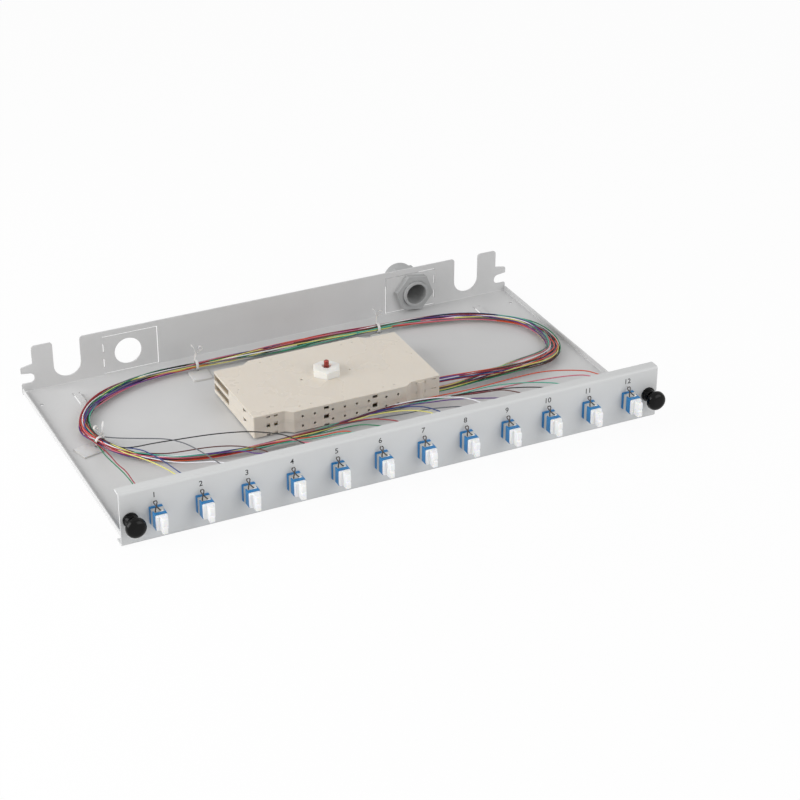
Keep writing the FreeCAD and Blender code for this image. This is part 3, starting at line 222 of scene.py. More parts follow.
def add_node(tree: bpy.types.NodeTree, kind: str, values: dict | None = None, **settings) -> bpy.types.Node:
    """Adds a node to a tree.

    Args:
        tree: Shader or geometry tree.
        kind: Blender's name of the node type.
        values: Values for its input sockets, by name or number; an output socket is linked instead.
        settings: Properties of the node itself.

    Returns:
        The new node.
    """
    node = tree.nodes.new(kind)
    for name, value in settings.items():
        setattr(node, name, value)
    for key, value in (values or {}).items():
        if isinstance(value, bpy.types.NodeSocket):
            tree.links.new(value, node.inputs[key])
        else:
            node.inputs[key].default_value = value
    return node


def make_material(finish: Finish) -> bpy.types.Material:
    """Material with fine grain in its relief and soft patches in its colour and roughness.

    Args:
        finish: What the surface is like.

    Returns:
        The material, made once for each name.
    """
    known = bpy.data.materials.get(finish.name)
    if known:
        return known
    material = bpy.data.materials.new(finish.name)
    material.use_nodes = True
    tree = material.node_tree
    tree.nodes.clear()
    where = add_node(tree, "ShaderNodeTexCoord").outputs["Object"]
    patches = add_node(tree, "ShaderNodeTexNoise", {"Vector": where, "Scale": PATCH_SCALE, "Detail": 3.0})
    spread = {"Value": patches.outputs["Fac"], "From Min": 0.3, "From Max": 0.7}
    shade = add_node(tree, "ShaderNodeMapRange", {
        **spread, "To Min": 1 - finish.mottle, "To Max": 1 + finish.mottle,
    })
    hue = add_node(tree, "ShaderNodeHueSaturation", {
        "Color": linear(finish.colour), "Value": shade.outputs[0],
    })
    rough = add_node(tree, "ShaderNodeMapRange", {
        **spread, "To Min": finish.roughness * 0.9, "To Max": finish.roughness * 1.1,
    })
    grain = add_node(tree, "ShaderNodeTexNoise", {
        "Vector": where, "Scale": 1000 / finish.grain, "Detail": 2.0,
    })
    bump = add_node(tree, "ShaderNodeBump", {
        "Height": grain.outputs["Fac"], "Strength": 0.6, "Distance": finish.relief / 1000,
    })
    shader = add_node(tree, "ShaderNodeBsdfPrincipled", {
        "Base Color": hue.outputs["Color"], "Roughness": rough.outputs[0], "Normal": bump.outputs["Normal"],
        "Metallic": finish.metallic, "Specular IOR Level": finish.shine,
        "Subsurface Weight": finish.scatter, "Subsurface Scale": finish.depth / 1000,
        "Subsurface Radius": WARM_SCATTER, "Transmission Weight": finish.passes,
    })
    add_node(tree, "ShaderNodeOutputMaterial", {"Surface": shader.outputs["BSDF"]})
    return material


def seen_directly(tree: bpy.types.NodeTree) -> bpy.types.NodeSocket:
    """Tells what the camera sees straight, in a reflection or through a clear piece.

    Args:
        tree: Tree of the world or of the floor.

    Returns:
        Output that is 1 for such rays and 0 for those that light the object.
    """
    ray = add_node(tree, "ShaderNodeLightPath").outputs
    seen = ray["Is Camera Ray"]
    for kind in ("Is Glossy Ray", "Is Transmission Ray"):
        seen = add_node(tree, "ShaderNodeMath", {0: seen, 1: ray[kind]}, operation="MAXIMUM").outputs[0]
    return seen


def slot_material(slot: str) -> bpy.types.Material:
    """Material of one of the record's slots."""
    return make_material(FINISHES[slot])


def fibre_material(colour: FibreColour) -> bpy.types.Material:
    """Jacket material of one strand colour.

    The extruded skin is smooth and evenly dyed: one soft line of light follows each strand.

    Args:
        colour: Colour of the jacket.

    Returns:
        The material.
    """
    name = f"Extruded nylon jacket, {colour.name.lower()}"
    return make_material(Finish(name, colour.value, 0.42, grain=0.6, relief=0.004, mottle=0.06, shine=0.35))


def new_object(name: str, mesh: bpy.types.Mesh) -> bpy.types.Object:
    """Links an object for a mesh into the scene.

    Args:
        name: Name of the object.
        mesh: Its mesh, or a curve or text.

    Returns:
        The object, at the origin.
    """
    thing = bpy.data.objects.new(name, mesh)
    bpy.context.scene.collection.objects.link(thing)
    return thing


def mesh_from(name: str, points: list, faces: list) -> bpy.types.Mesh:
    """Makes a mesh from corners and faces.

    Args:
        name: Name of the mesh.
        points: Corners in metres.
        faces: Numbers of the corners of each face.

    Returns:
        The mesh.
    """
    mesh = bpy.data.meshes.new(name)
    mesh.from_pydata([tuple(p) for p in points], [], faces)
    mesh.validate()
    mesh.update()
    return mesh


def mesh_of(work: bmesh.types.BMesh, name: str) -> bpy.types.Mesh:
    """Turns a working mesh into a finished one.

    Args:
        work: Working mesh; it is freed.
        name: Name of the new mesh.

    Returns:
        The mesh.
    """
    mesh = bpy.data.meshes.new(name)
    work.to_mesh(mesh)
    work.free()
    return mesh


def add_block(work: bmesh.types.BMesh, low: Vector, high: Vector) -> None:
    """Adds a box to a working mesh.

    Args:
        work: Mesh that takes the box.
        low: Its lowest corner.
        high: Its highest corner.
    """
    matrix = Matrix.Translation((low + high) / 2) @ Matrix.Diagonal((*(high - low), 1))
    bmesh.ops.create_cube(work, size=1.0, matrix=matrix)


def join_rings(work: bmesh.types.BMesh, rings: list, closed: bool = False) -> None:
    """Draws a strip through rings of four corners.

    Args:
        work: Mesh that holds the corners.
        rings: Corners of each cross-section in order.
        closed: Whether the last ring meets the first; otherwise both ends get a face.
    """
    pairs = list(zip(rings, rings[1:])) + ([(rings[-1], rings[0])] if closed else [])
    for near, far in pairs:
        for i in range(4):
            j = (i + 1) % 4
            work.faces.new((near[i], near[j], far[j], far[i]))
    if not closed:
        work.faces.new(rings[0][::-1])
        work.faces.new(rings[-1])


def round_edges(thing: bpy.types.Object, width: float, sharper_than: float) -> None:
    """Rounds the edges of an object.

    Args:
        thing: Object that gets the modifier.
        width: Width of the rounding in millimetres.
        sharper_than: Angle in degrees above which an edge is rounded.
    """
    bevel = thing.modifiers.new("Rounding", "BEVEL")
    bevel.width = width / 1000
    bevel.segments = 2
    bevel.limit_method = "ANGLE"
    bevel.angle_limit = math.radians(sharper_than)


def frozen_mesh(thing: bpy.types.Object, name: str) -> bpy.types.Mesh:
    """Mesh of an object with its modifiers applied.

    Args:
        thing: Object with live modifiers; it is removed afterwards.
        name: Name of the new mesh.

    Returns:
        The evaluated mesh.
    """
    bpy.context.view_layer.update()
    evaluated = thing.evaluated_get(bpy.context.evaluated_depsgraph_get())
    mesh = bpy.data.meshes.new_from_object(evaluated)
    mesh.name = name
    bpy.data.objects.remove(thing)
    return mesh


def smooth(mesh: bpy.types.Mesh, sharp_above: float = 32.0) -> None:
    """Smooth shading with edges kept sharp above an angle in degrees."""
    mesh.shade_smooth()
    mesh.set_sharp_from_angle(angle=math.radians(sharp_above))


class NodeSet:
    """What the record says about each CAD node: its material slot and its body."""

    def __init__(self, record: dict) -> None:
        """Reads the record.

        Args:
            record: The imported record.
        """
        self.slots = {part["node"]: part["material_slot"] for part in record["subparts"]}
        self.bodies = {node: body for body, nodes in record["behaviour"]["bodies"].items() for node in nodes}

    def attach(self, thing: bpy.types.Object, node: str, *others: str) -> bpy.types.Object:
        """Lets an object stand for a CAD node and move with its body.

        Args:
            thing: The object.
            node: The node that gives body and slot.
            others: Further nodes that it stands for.

        Returns:
            The object.
        """
        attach(thing, self.bodies[node])
        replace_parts(thing, node, *others)
        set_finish(thing, self.slots[node])
        return thing


NODES = NodeSet(frame["record"])


@dataclass
class RoundedParts:
    """Rigid CAD parts shown by copies with rounded edges."""

    edges: dict[str, Edge]
    made: list = field(default_factory=list)

    def welded(self, node: str) -> bpy.types.Mesh:
        """Joins the corners of a node's mesh and makes its flat faces whole.

        Args:
            node: Name of the node.

        Returns:
            A copy, because the node's own mesh is left alone.
        """
        work = bmesh.new()
        work.from_mesh(frame["nodes"][node].data)
        bmesh.ops.remove_doubles(work, verts=work.verts, dist=1e-6)
        bmesh.ops.dissolve_limit(work, angle_limit=math.radians(0.6), verts=work.verts, edges=work.edges)
        bmesh.ops.recalc_face_normals(work, faces=work.faces)
        work.verts.index_update()
        points = [v.co.copy() for v in work.verts]
        faces = [[v.index for v in f.verts] for f in work.faces]
        work.free()
        mesh = mesh_from(f"{node}_rounded", points, faces)
        mesh.shade_smooth()
        return mesh

    def build(self) -> list:
        """Makes every rounded copy.

        Returns:
            The objects.
        """
        for node, edge in self.edges.items():
            thing = new_object(f"{node}_shape", self.welded(node))
            round_edges(thing, edge.value, sharper_than=40)
            even = thing.modifiers.new("Flat faces stay flat", "WEIGHTED_NORMAL")
            even.mode = "FACE_AREA"
            even.weight = 50
            mesh = frozen_mesh(thing, f"{node}_rounded")
            mesh.materials.clear()
            mesh.materials.append(slot_material(NODES.slots[node]))
            self.made.append(NODES.attach(new_object(f"{node}_rounded", mesh), node))
        LOG.info("rounded parts: %d", len(self.made))
        return self.made


class PlainParts:
    """CAD parts that are shown as they are, with the finish of their slot."""

    def build(self, taken: set[str]) -> None:
        """Gives every node that nothing stands for its material.

        Args:
            taken: Nodes that other pieces stand for.
        """
        for node, thing in frame["nodes"].items():
            if node in taken:
                continue
            thing.data.materials.clear()
            thing.data.materials.append(slot_material(NODES.slots[node]))
            thing["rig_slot"] = NODES.slots[node]
        LOG.info("plain parts: %d", len(frame["nodes"]) - len(taken))


@dataclass(frozen=True)
class Lathe:
    """Turned shape: its outline is spun about a line along y.

    Args:
        outline: Radius and distance along the axis of each corner, in millimetres.
        steps: Number of segments around.
    """

    outline: tuple
    steps: int = 64

    def mesh(self, name: str, centre: tuple[float, float, float]) -> bpy.types.Mesh:
        """Spins the outline.

        Args:
            name: Name of the mesh.
            centre: Where the axis passes, in the panel's frame.

        Returns:
            A closed mesh with its normals outwards.
        """
        work = bmesh.new()
        corners = [work.verts.new(Vector((radius, along, 0)) / 1000) for radius, along in self.outline]
        edges = [work.edges.new(pair) for pair in zip(corners, corners[1:])]
        bmesh.ops.spin(
            work, geom=corners + edges, cent=(0, 0, 0), axis=(0, 1, 0), angle=math.tau,
            steps=self.steps, use_merge=True,
        )
        bmesh.ops.remove_doubles(work, verts=work.verts, dist=1e-6)
        bmesh.ops.recalc_face_normals(work, faces=work.faces)
        bmesh.ops.translate(work, verts=work.verts, vec=place(*centre))
        mesh = mesh_of(work, name)
        smooth(mesh)
        return mesh


def rounded_outline(corners: list, steps: int = 5) -> tuple:
    """Rounds the corners of an outline.

    Args:
        corners: Radius, distance along the axis and rounding of each corner.
        steps: Number of short lines that make a rounding.

    Returns:
        The outline's points.
    """
    result = []
    for i, (u, v, rounding) in enumerate(corners):
        if rounding <= 0 or i in (0, len(corners) - 1):
            result.append((u, v))
            continue
        here = Vector((u, v))
        back = Vector(corners[i - 1][:2]) - here
        ahead = Vector(corners[i + 1][:2]) - here
        reach = min(rounding, 0.48 * back.length, 0.48 * ahead.length)
        start = here + back.normalized() * reach
        end = here + ahead.normalized() * reach
        for step in range(steps + 1):
            t = step / steps
            point = start * (1 - t) ** 2 + here * 2 * t * (1 - t) + end * t**2
            result.append((point.x, point.y))
    return tuple(result)


@dataclass(frozen=True)
class PortGrid:
    """Where the adapters and their ports sit in the panel."""

    count: int = 12
    pitch: float = 35.16
    level: float = 21.0
    spacing: float = 6.25

    def x(self, number: int) -> float:
        """Place along the panel of an adapter, counted from 1."""
        return self.pitch * (number - (self.count + 1) / 2)

    def height(self, upper: bool) -> float:
        """Height of an adapter's upper or lower port."""
        return self.level + (self.spacing / 2 if upper else -self.spacing / 2)


PORTS = PortGrid()


@dataclass
class PushLatches:
    """The two push latches with their pulled-out knobs."""

    place_x: float = 212.3
    level: float = 21.0
    head_radius: float = 7.8
    neck_radius: float = 3.6
    pin_radius: float = 2.5
    head_front: float = -16.1
    head_back: float = -10.3
    neck_back: float = -7.8
    pin_end: float = 8.0

    def build(self) -> list:
        """Makes the two knobs.

        Returns:
            The objects.
        """
        rim, neck, pin = self.head_radius, self.neck_radius, self.pin_radius
        front, back = self.head_front, self.head_back
        knob = rounded_outline([
            (0, front, 0), (rim - 3.2, front, 3.0), (rim - 0.6, front + 1.5, 2.2), (rim, front + 3.9, 1.2),
            (rim, back - 0.6, 0.5), (rim - 0.5, back, 0.5), (neck, back, 0.3), (neck, self.neck_back, 0.2),
            (pin, self.neck_back, 0.2), (pin, self.pin_end, 0.6), (0, self.pin_end, 0),
        ])
        made = []
        for side, name in ((-1, "left"), (1, "right")):
            mesh = Lathe(knob).mesh(f"latch_knob_{name}_turned", (side * self.place_x, 0, self.level))
            mesh.materials.append(slot_material("latch_black"))
            made.append(NODES.attach(new_object(mesh.name, mesh), f"latch_knob_{name}"))
        LOG.info("push latches: %d turned pieces", len(made))
        return made


@dataclass
class NumberRow:
    """Printed numbers above the adapters."""

    shift: float = -0.5
    level: float = 36.5
    height: float = 4.2
    figure_share: float = 0.7
    ink: float = 0.02
    boldness: float = 0.06

    def build(self) -> list:
        """Makes one flat figure group for each adapter.

        Returns:
            The objects.
        """
        made = []
        for number in range(1, PORTS.count + 1):
            text = bpy.data.curves.new(f"figure_{number:02d}", "FONT")
            text.body = str(number)
            text.align_x = "CENTER"
            text.align_y = "CENTER"
            text.size = self.height / self.figure_share / 1000
            text.extrude = self.ink / 1000
            text.offset = self.boldness / 1000
            text.resolution_u = 6
            mesh = frozen_mesh(new_object("figure_source", text), f"number_{number:02d}")
            spot = place(PORTS.x(number) + self.shift, -self.ink, self.level)
            mesh.transform(Matrix.Translation(spot) @ Matrix.Rotation(math.radians(90), 4, "X"))
            mesh.materials.clear()
            mesh.materials.append(slot_material("print_black"))
            thing = new_object(mesh.name, mesh)
            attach(thing, "drawer")
            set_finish(thing, "panel_paint")
            made.append(thing)
        LOG.info("numbers: %d", len(made))
        return made


class NodeTool:
    """Geometry tree with named inputs, built once and used by every piece that needs it."""

    def __init__(self, name: str, inputs: dict[str, str]) -> None:
        """Starts the tree.

        Args:
            name: Name of the tree.
            inputs: Socket type of each input after the geometry.
        """
        self.tree = bpy.data.node_groups.new(name, "GeometryNodeTree")
        face = self.tree.interface
        face.new_socket("Geometry", in_out="INPUT", socket_type="NodeSocketGeometry")
        self.keys = {}
        for label, kind in inputs.items():
            self.keys[label] = face.new_socket(label, in_out="INPUT", socket_type=kind).identifier
        face.new_socket("Geometry", in_out="OUTPUT", socket_type="NodeSocketGeometry")
        self.source = add_node(self.tree, "NodeGroupInput").outputs

    def finish(self, geometry: bpy.types.NodeSocket) -> None:
        """Ends the tree with real geometry in the given material.

        Args:
            geometry: Output that holds the shape.
        """
        real = add_node(self.tree, "GeometryNodeRealizeInstances", {"Geometry": geometry})
        shaded = add_node(self.tree, "GeometryNodeSetShadeSmooth", {"Geometry": real.outputs["Geometry"]})
        dressed = add_node(self.tree, "GeometryNodeSetMaterial", {
            "Geometry": shaded.outputs["Geometry"], "Material": self.source["Material"],
        })
        add_node(self.tree, "NodeGroupOutput", {"Geometry": dressed.outputs["Geometry"]})

    def apply(self, carrier: bpy.types.Object, name: str, values: dict) -> bpy.types.Mesh:
        """Runs the tree on an object.

        Args:
            carrier: Object that gives the input geometry; it is removed.
            name: Name of the new mesh.
            values: Value of each named input.

        Returns:
            The plain mesh.
        """
        modifier = carrier.modifiers.new(self.tree.name, "NODES")
        modifier.node_group = self.tree
        for label, value in values.items():
            modifier[self.keys[label]] = value
        return frozen_mesh(carrier, name)


def strand_tool() -> NodeTool:
    """Builds the tree that draws a round jacket along a curve.

    Returns:
        The tool.
    """
    tool = NodeTool("strand_jacket", {
        "Radius": "NodeSocketFloat", "Sides": "NodeSocketInt", "Material": "NodeSocketMaterial",
    })
    ring = add_node(tool.tree, "GeometryNodeCurvePrimitiveCircle", {
        "Resolution": tool.source["Sides"], "Radius": tool.source["Radius"],
    })
    jacket = add_node(tool.tree, "GeometryNodeCurveToMesh", {
        "Curve": tool.source["Geometry"], "Profile Curve": ring.outputs["Curve"], "Fill Caps": True,
    })
    tool.finish(jacket.outputs["Mesh"])
    return tool


def row_tool() -> NodeTool:
    """Builds the tree that sets a piece out in rows and levels.

    Returns:
        The tool.
    """
    tool = NodeTool("row_of_pieces", {
        "Columns": "NodeSocketInt", "Pitch": "NodeSocketFloat",
        "Levels": "NodeSocketInt", "Rise": "NodeSocketFloat", "Material": "NodeSocketMaterial",
    })

    def line(count: str, step: str, axis: str) -> bpy.types.Node:
        """Draws a line of points.

        Args:
            count: Input that gives the number of points.
            step: Input that gives the distance between them.
            axis: Axis that the line follows.

        Returns:
            The node that makes the line.
        """
        offset = add_node(tool.tree, "ShaderNodeCombineXYZ", {axis: tool.source[step]})
        return add_node(tool.tree, "GeometryNodeMeshLine", {
            "Count": tool.source[count], "Offset": offset.outputs["Vector"],
        })

    columns = line("Columns", "Pitch", "X")
    levels = line("Levels", "Rise", "Z")
    column = add_node(tool.tree, "GeometryNodeInstanceOnPoints", {
        "Points": levels.outputs["Mesh"], "Instance": tool.source["Geometry"],
    })
    row = add_node(tool.tree, "GeometryNodeInstanceOnPoints", {
        "Points": columns.outputs["Mesh"], "Instance": column.outputs["Instances"],
    })
    tool.finish(row.outputs["Instances"])
    return tool


@dataclass
class AdapterFittings:
    """What repeats behind and on the adapters: boots, spring clips and their fingers."""

    tool: NodeTool
    boot_start: float = 22.7
    boot_length: float = 13.0
    collar_radius: float = 1.7
    tip_radius: float = 1.0
    ribs: int = 5
    rib_pitch: float = 1.7
    half_width: float = 4.6
    sheet: float = 0.3
    leg_front: float = -6.2
    leg_back: float = -2.6
    leg_foot: float = 14.9
    saddle_top: float = 27.4
    finger_half_width: float = 0.45
    finger_half_depth: float = 0.15

    def row(self, piece: bpy.types.Mesh, name: str, slot: str, levels: int = 1) -> bpy.types.Mesh:
        """Sets a piece out from the first adapter to the last.

        Args:
            piece: Mesh at the first adapter, and at its lower port if it has levels.
            name: Name of the row.
            slot: Finish of the row.
            levels: 2 for a piece at both ports.

        Returns:
            The mesh of the whole row.
        """
        return self.tool.apply(new_object(f"{piece.name}_source", piece), name, {
            "Columns": PORTS.count, "Pitch": PORTS.pitch / 1000, "Levels": levels,
            "Rise": PORTS.spacing / 1000, "Material": slot_material(slot),
        })

    def boots(self) -> bpy.types.Object:
        """Makes the strain-relief boots with their grooves, one for every port.

        Returns:
            The object.
        """
        start = self.boot_start
        end = start + self.boot_length
        corners = [(0, start, 0), (self.collar_radius, start, 0.2), (self.collar_radius, start + 2.4, 0.3)]
        for i in range(self.ribs):
            at = start + 3.0 + self.rib_pitch * i
            ridge = 1.55 - 0.09 * i
            corners += [(ridge - 0.3, at, 0.1), (ridge, at + 0.35, 0.15), (ridge - 0.04, at + 1.2, 0.15)]
        corners += [(self.tip_radius, end - 1.0, 0.2), (self.tip_radius, end, 0.2), (0, end, 0)]
        boot = Lathe(rounded_outline(corners), steps=20).mesh("boot", (PORTS.x(1), 0, PORTS.height(False)))
        done = self.row(boot, "pigtail_boots_row", "boot_white", levels=2)
        return NODES.attach(new_object(done.name, done), "pigtail_boots")

    def clips(self) -> bpy.types.Object:
        """Makes the row of spring clips, each a saddle bent round its adapter's body.

        Returns:
            The object.
        """
        x, top = PORTS.x(1), self.saddle_top
        half, front, back = self.half_width, self.leg_front, self.leg_back
        blocks = (
            ((x - half, front, self.leg_foot), (x - half + self.sheet, back, top - 0.1)),
            ((x + half - self.sheet, front, self.leg_foot), (x + half, back, top - 0.1)),
            ((x - 3.7, -8.8, top - self.sheet), (x + 3.7, back, top - 0.04)),
            ((x - 4.5, front, top - self.sheet), (x + 4.5, back, top)),
            ((x + 0.9, -8.2, top - 0.04), (x + 2.9, -5.4, top + 0.14)),
        )
        work = bmesh.new()
        for low, high in blocks:
            add_block(work, place(*low), place(*high))
        done = self.row(mesh_of(work, "spring_clip"), "adapter_clips_row", "clip_steel")
        smooth(done, 30)
        return NODES.attach(new_object(done.name, done), "adapter_clips")

    def fingers(self) -> bpy.types.Object:
        """Makes the row of crossed fingers above the saddles, hooked at their ends.

        Returns:
            The object.
        """
        work = bmesh.new()
        x, top = PORTS.x(1), self.saddle_top
        for side in (-1, 1):
            path = (
                (x - side * 2.2 - 0.7, -8.0, top + 0.1), (x - side * 1.3 - 0.8, -6.4, top + 0.9),
                (x - 0.9, -4.9, top + 2.6), (x + side * 0.9 - 0.9, -3.8, top + 4.0),
                (x + side * 1.3 - 0.9, -3.3, top + 4.9), (x + side * 1.0 - 0.9, -3.0, top + 5.6),
                (x + side * 0.2 - 0.9, -2.9, top + 5.9),
            )
            self.finger(work, [place(*point) for point in path])
        # The fingers take the dark steel colour: a painted dark reflection, not the strip's own colour.
        done = self.row(mesh_of(work, "spring_fingers"), "adapter_clip_fingers_row", "finger_steel_painted_reflection")
        smooth(done, 30)
        thing = new_object(done.name, done)
        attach(thing, "drawer")
        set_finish(thing, "clip_steel")
        return thing

    def finger(self, work: bmesh.types.BMesh, path: list) -> None:
        """Adds a bent strip.

        Args:
            work: Mesh that takes the strip.
            path: Points of its middle line.
        """
        upright = Vector((0, -0.5, 1))
        rings = []
        for i, point in enumerate(path):
            ahead = path[min(i + 1, len(path) - 1)] - path[max(i - 1, 0)]
            across = ahead.cross(upright).normalized() * self.finger_half_width / 1000
            over = across.cross(ahead).normalized() * self.finger_half_depth / 1000
            corners = (across + over, over - across, -across - over, across - over)
            rings.append([work.verts.new(point + corner) for corner in corners])
        join_rings(work, rings)
        bmesh.ops.recalc_face_normals(work, faces=work.faces)

    def build(self) -> list:
        """Makes the three rows.

        Returns:
            The objects.
        """
        made = [self.boots(), self.clips(), self.fingers()]
        LOG.info("adapter fittings: %d rows", len(made))
        return made


@dataclass(frozen=True)
class Station:
    """Place that the bundle passes, with the half axes of the room that its strands take there."""

    x: float
    y: float
    z: float
    half_width: float
    half_height: float


@dataclass(frozen=True)
class Tail:
    """Where one strand leaves the bundle and how it runs to its adapter."""

    adapter: int
    upper: bool
    colour: FibreColour
    points: tuple


# Stations of the bundle from the trays' right end, once round the drawer against the clock
LOOP = tuple(Station(*numbers) for numbers in (
    (152, 103.5, 9.0, 9.0, 3.2), (181, 108.5, 8.0, 10.5, 3.0), (198.5, 121, 7.4, 7.6, 2.7),
    (206, 147, 7.0, 8.2, 2.5), (199.5, 178, 7.2, 6.2, 2.5), (165, 204, 7.5, 5.2, 2.5),
    (123, 214, 7.6, 4.8, 2.4), (82, 216.8, 7.7, 2.7, 2.2), (36, 219, 7.7, 6.4, 2.6),
    (-10, 218.5, 7.8, 6.8, 2.8), (-48, 218.5, 7.7, 5.2, 2.5), (-79, 220, 7.7, 2.6, 2.2),
    (-110, 220.5, 7.6, 4.6, 2.4), (-140, 216.5, 7.3, 6.6, 2.5), (-169, 202, 7.1, 6.8, 2.5),
    (-187.5, 180.5, 7.1, 6.6, 2.5), (-195.5, 157, 7.3, 6.0, 2.5), (-189.5, 136, 7.7, 2.7, 2.2),
    (-181, 116, 7.3, 3.7, 2.3), (-165, 98, 7.0, 4.4, 2.4), (-138, 84, 6.9, 5.0, 2.4),
    (-98, 76.5, 7.0, 4.4, 2.4), (-62, 76, 7.4, 3.8, 2.4), (-30, 77.5, 7.8, 3.6, 2.4),
    (4, 81, 8.4, 3.4, 2.4), (38, 85, 9.2, 3.0, 2.4), (68, 88, 10.0, 3.0, 2.2),
))

# Order of the strands across the bundle at some stations, from outside the loop to inside, a letter each
ORDERS = {
    0: "nkgyorrbknboswawppvavsgy",
    2: "nkgyorrbknboswawppvavsgy",
    5: "gbbgayknwrvsnpawkyvrspoo",
    6: "bbvrvwsgaknyrnywagksoopp",
    7: "prvvrbbkswwpognnoyagayks",
    9: "rrpoobvvbknywsnpkwsyaagg",
    11: "baggabsvknkrnrpvpwwosoyy",
    14: "yoorrnwwsnygbkagkabvsvpp",
    16: "vprrpwynosvbwbkgaosynakg",
    17: "pvrrpwgynosbvwbkaoynsakg",
}
# Those letters, in the order in which FibreColour lists the colours
LETTERS = dict(zip("bognswrkyvpa", FibreColour))

F = FibreColour
# Runs to the adapters, from left to right
TAILS = (
    Tail(1, False, F.GREEN, (
        (-193, 128, 8), (-194, 110, 10), (-193, 83, 14), (-193, 66, 17), (-194, 49, 20),
    )),
    Tail(1, True, F.RED, (
        (-192, 124, 9), (-191, 107, 11), (-192, 87, 14), (-191, 70, 17.5), (-193, 48, 20.5),
    )),
    Tail(2, False, F.YELLOW, (
        (-184, 122, 8), (-177, 106, 9), (-169, 90, 11), (-164, 69, 15), (-162, 48, 20),
    )),
    Tail(2, True, F.BLUE, ((-180, 121, 8), (-167, 110, 9), (-163, 94, 12), (-160, 76, 15), (-158, 48, 20))),
    Tail(3, False, F.GREY, (
        (-184, 137, 9), (-166, 127, 9), (-147, 116, 10), (-140, 108, 11), (-134, 97, 12), (-131, 83, 14),
        (-129, 70, 16), (-127, 48, 20),
    )),
    Tail(3, True, F.WHITE, (
        (-177, 111, 8), (-164, 95, 8), (-148, 78, 9), (-134, 67, 12), (-128, 58, 16), (-126, 48, 20),
    )),
    Tail(4, False, F.BROWN, (
        (-154, 97, 8), (-141, 91, 10), (-125, 86, 12), (-112, 81, 13), (-101, 74, 14), (-94, 64, 16),
        (-88, 48, 20),
    )),
    Tail(4, True, F.VIOLET, ((-130, 84, 8), (-114, 78, 9), (-104, 71, 12), (-100, 61, 16), (-97, 48, 20))),
    Tail(5, False, F.BLACK, (
        (-181, 120, 8), (-170, 114, 9), (-155, 112, 10), (-139, 108, 11), (-114, 103, 12), (-94, 96, 13),
        (-82, 89, 14), (-71, 77, 16), (-64, 66, 18), (-60, 48, 20),
    )),
    Tail(5, True, F.PINK, ((-95, 79, 8), (-80, 75, 10), (-68, 69, 13), (-61, 60, 17), (-58, 47, 20))),
    Tail(6, False, F.ORANGE, ((-62, 75, 9), (-45, 69, 10), (-33, 64, 12), (-26, 60, 15), (-20, 49, 20))),
    Tail(6, True, F.AQUA, ((-70, 72, 9), (-52, 68, 10), (-38, 62, 12), (-28, 56, 16), (-19, 46, 20))),
    Tail(7, False, F.GREEN, ((-43, 73, 9), (-28, 71, 10), (-16, 68, 12), (-6, 61, 16), (0, 49, 20))),
    Tail(7, True, F.RED, ((-18, 79, 9), (-5, 76, 11), (6, 67, 15), (14, 58, 17), (18, 48, 20))),
    Tail(8, False, F.YELLOW, ((5, 80, 10), (22, 76, 12), (34, 68, 15), (42, 60, 17), (48, 48, 20))),
    Tail(8, True, F.BLUE, ((8, 85, 10), (30, 82, 11), (43, 73, 14), (50, 63, 17), (54, 48, 20))),
    Tail(9, False, F.GREY, ((21, 75, 9), (35, 69, 11), (50, 64, 14), (61, 56, 17), (70, 48, 20))),
    Tail(9, True, F.WHITE, (
        (27, 87, 10), (42, 84, 12), (58, 81, 13), (71, 76, 14), (81, 69, 15), (86, 58, 18), (88, 49, 20),
    )),
    Tail(10, False, F.VIOLET, (
        (46, 82, 10), (62, 77, 11), (76, 71, 13), (87, 60, 17), (96, 53, 18.5), (101, 48, 20),
    )),
    Tail(10, True, F.BROWN, (
        (66, 83, 10), (85, 78, 11), (98, 71, 13), (112, 66, 15), (118, 61, 17), (123, 48, 20),
    )),
    Tail(11, False, F.BLACK, (
        (72, 81, 10), (90, 77, 12), (106, 71, 14), (117, 65, 16), (131, 57, 18), (142, 48, 20),
    )),
    Tail(11, True, F.AQUA, (
        (71, 81, 10), (91, 77, 12), (109, 76, 14), (126, 70, 16), (144, 60, 18), (156, 49, 20),
    )),
    Tail(12, False, F.PINK, (
        (75, 82, 10), (103, 73, 12), (140, 69, 14), (155, 64, 16), (172, 58, 18), (186, 50, 20),
    )),
    Tail(12, True, F.ORANGE, (
        (75, 87, 9), (96, 82, 11), (119, 80, 13), (142, 78, 15), (160, 76, 16), (174, 70, 17),
        (188, 61, 18), (192, 55, 19), (194, 48, 20),
    )),
)


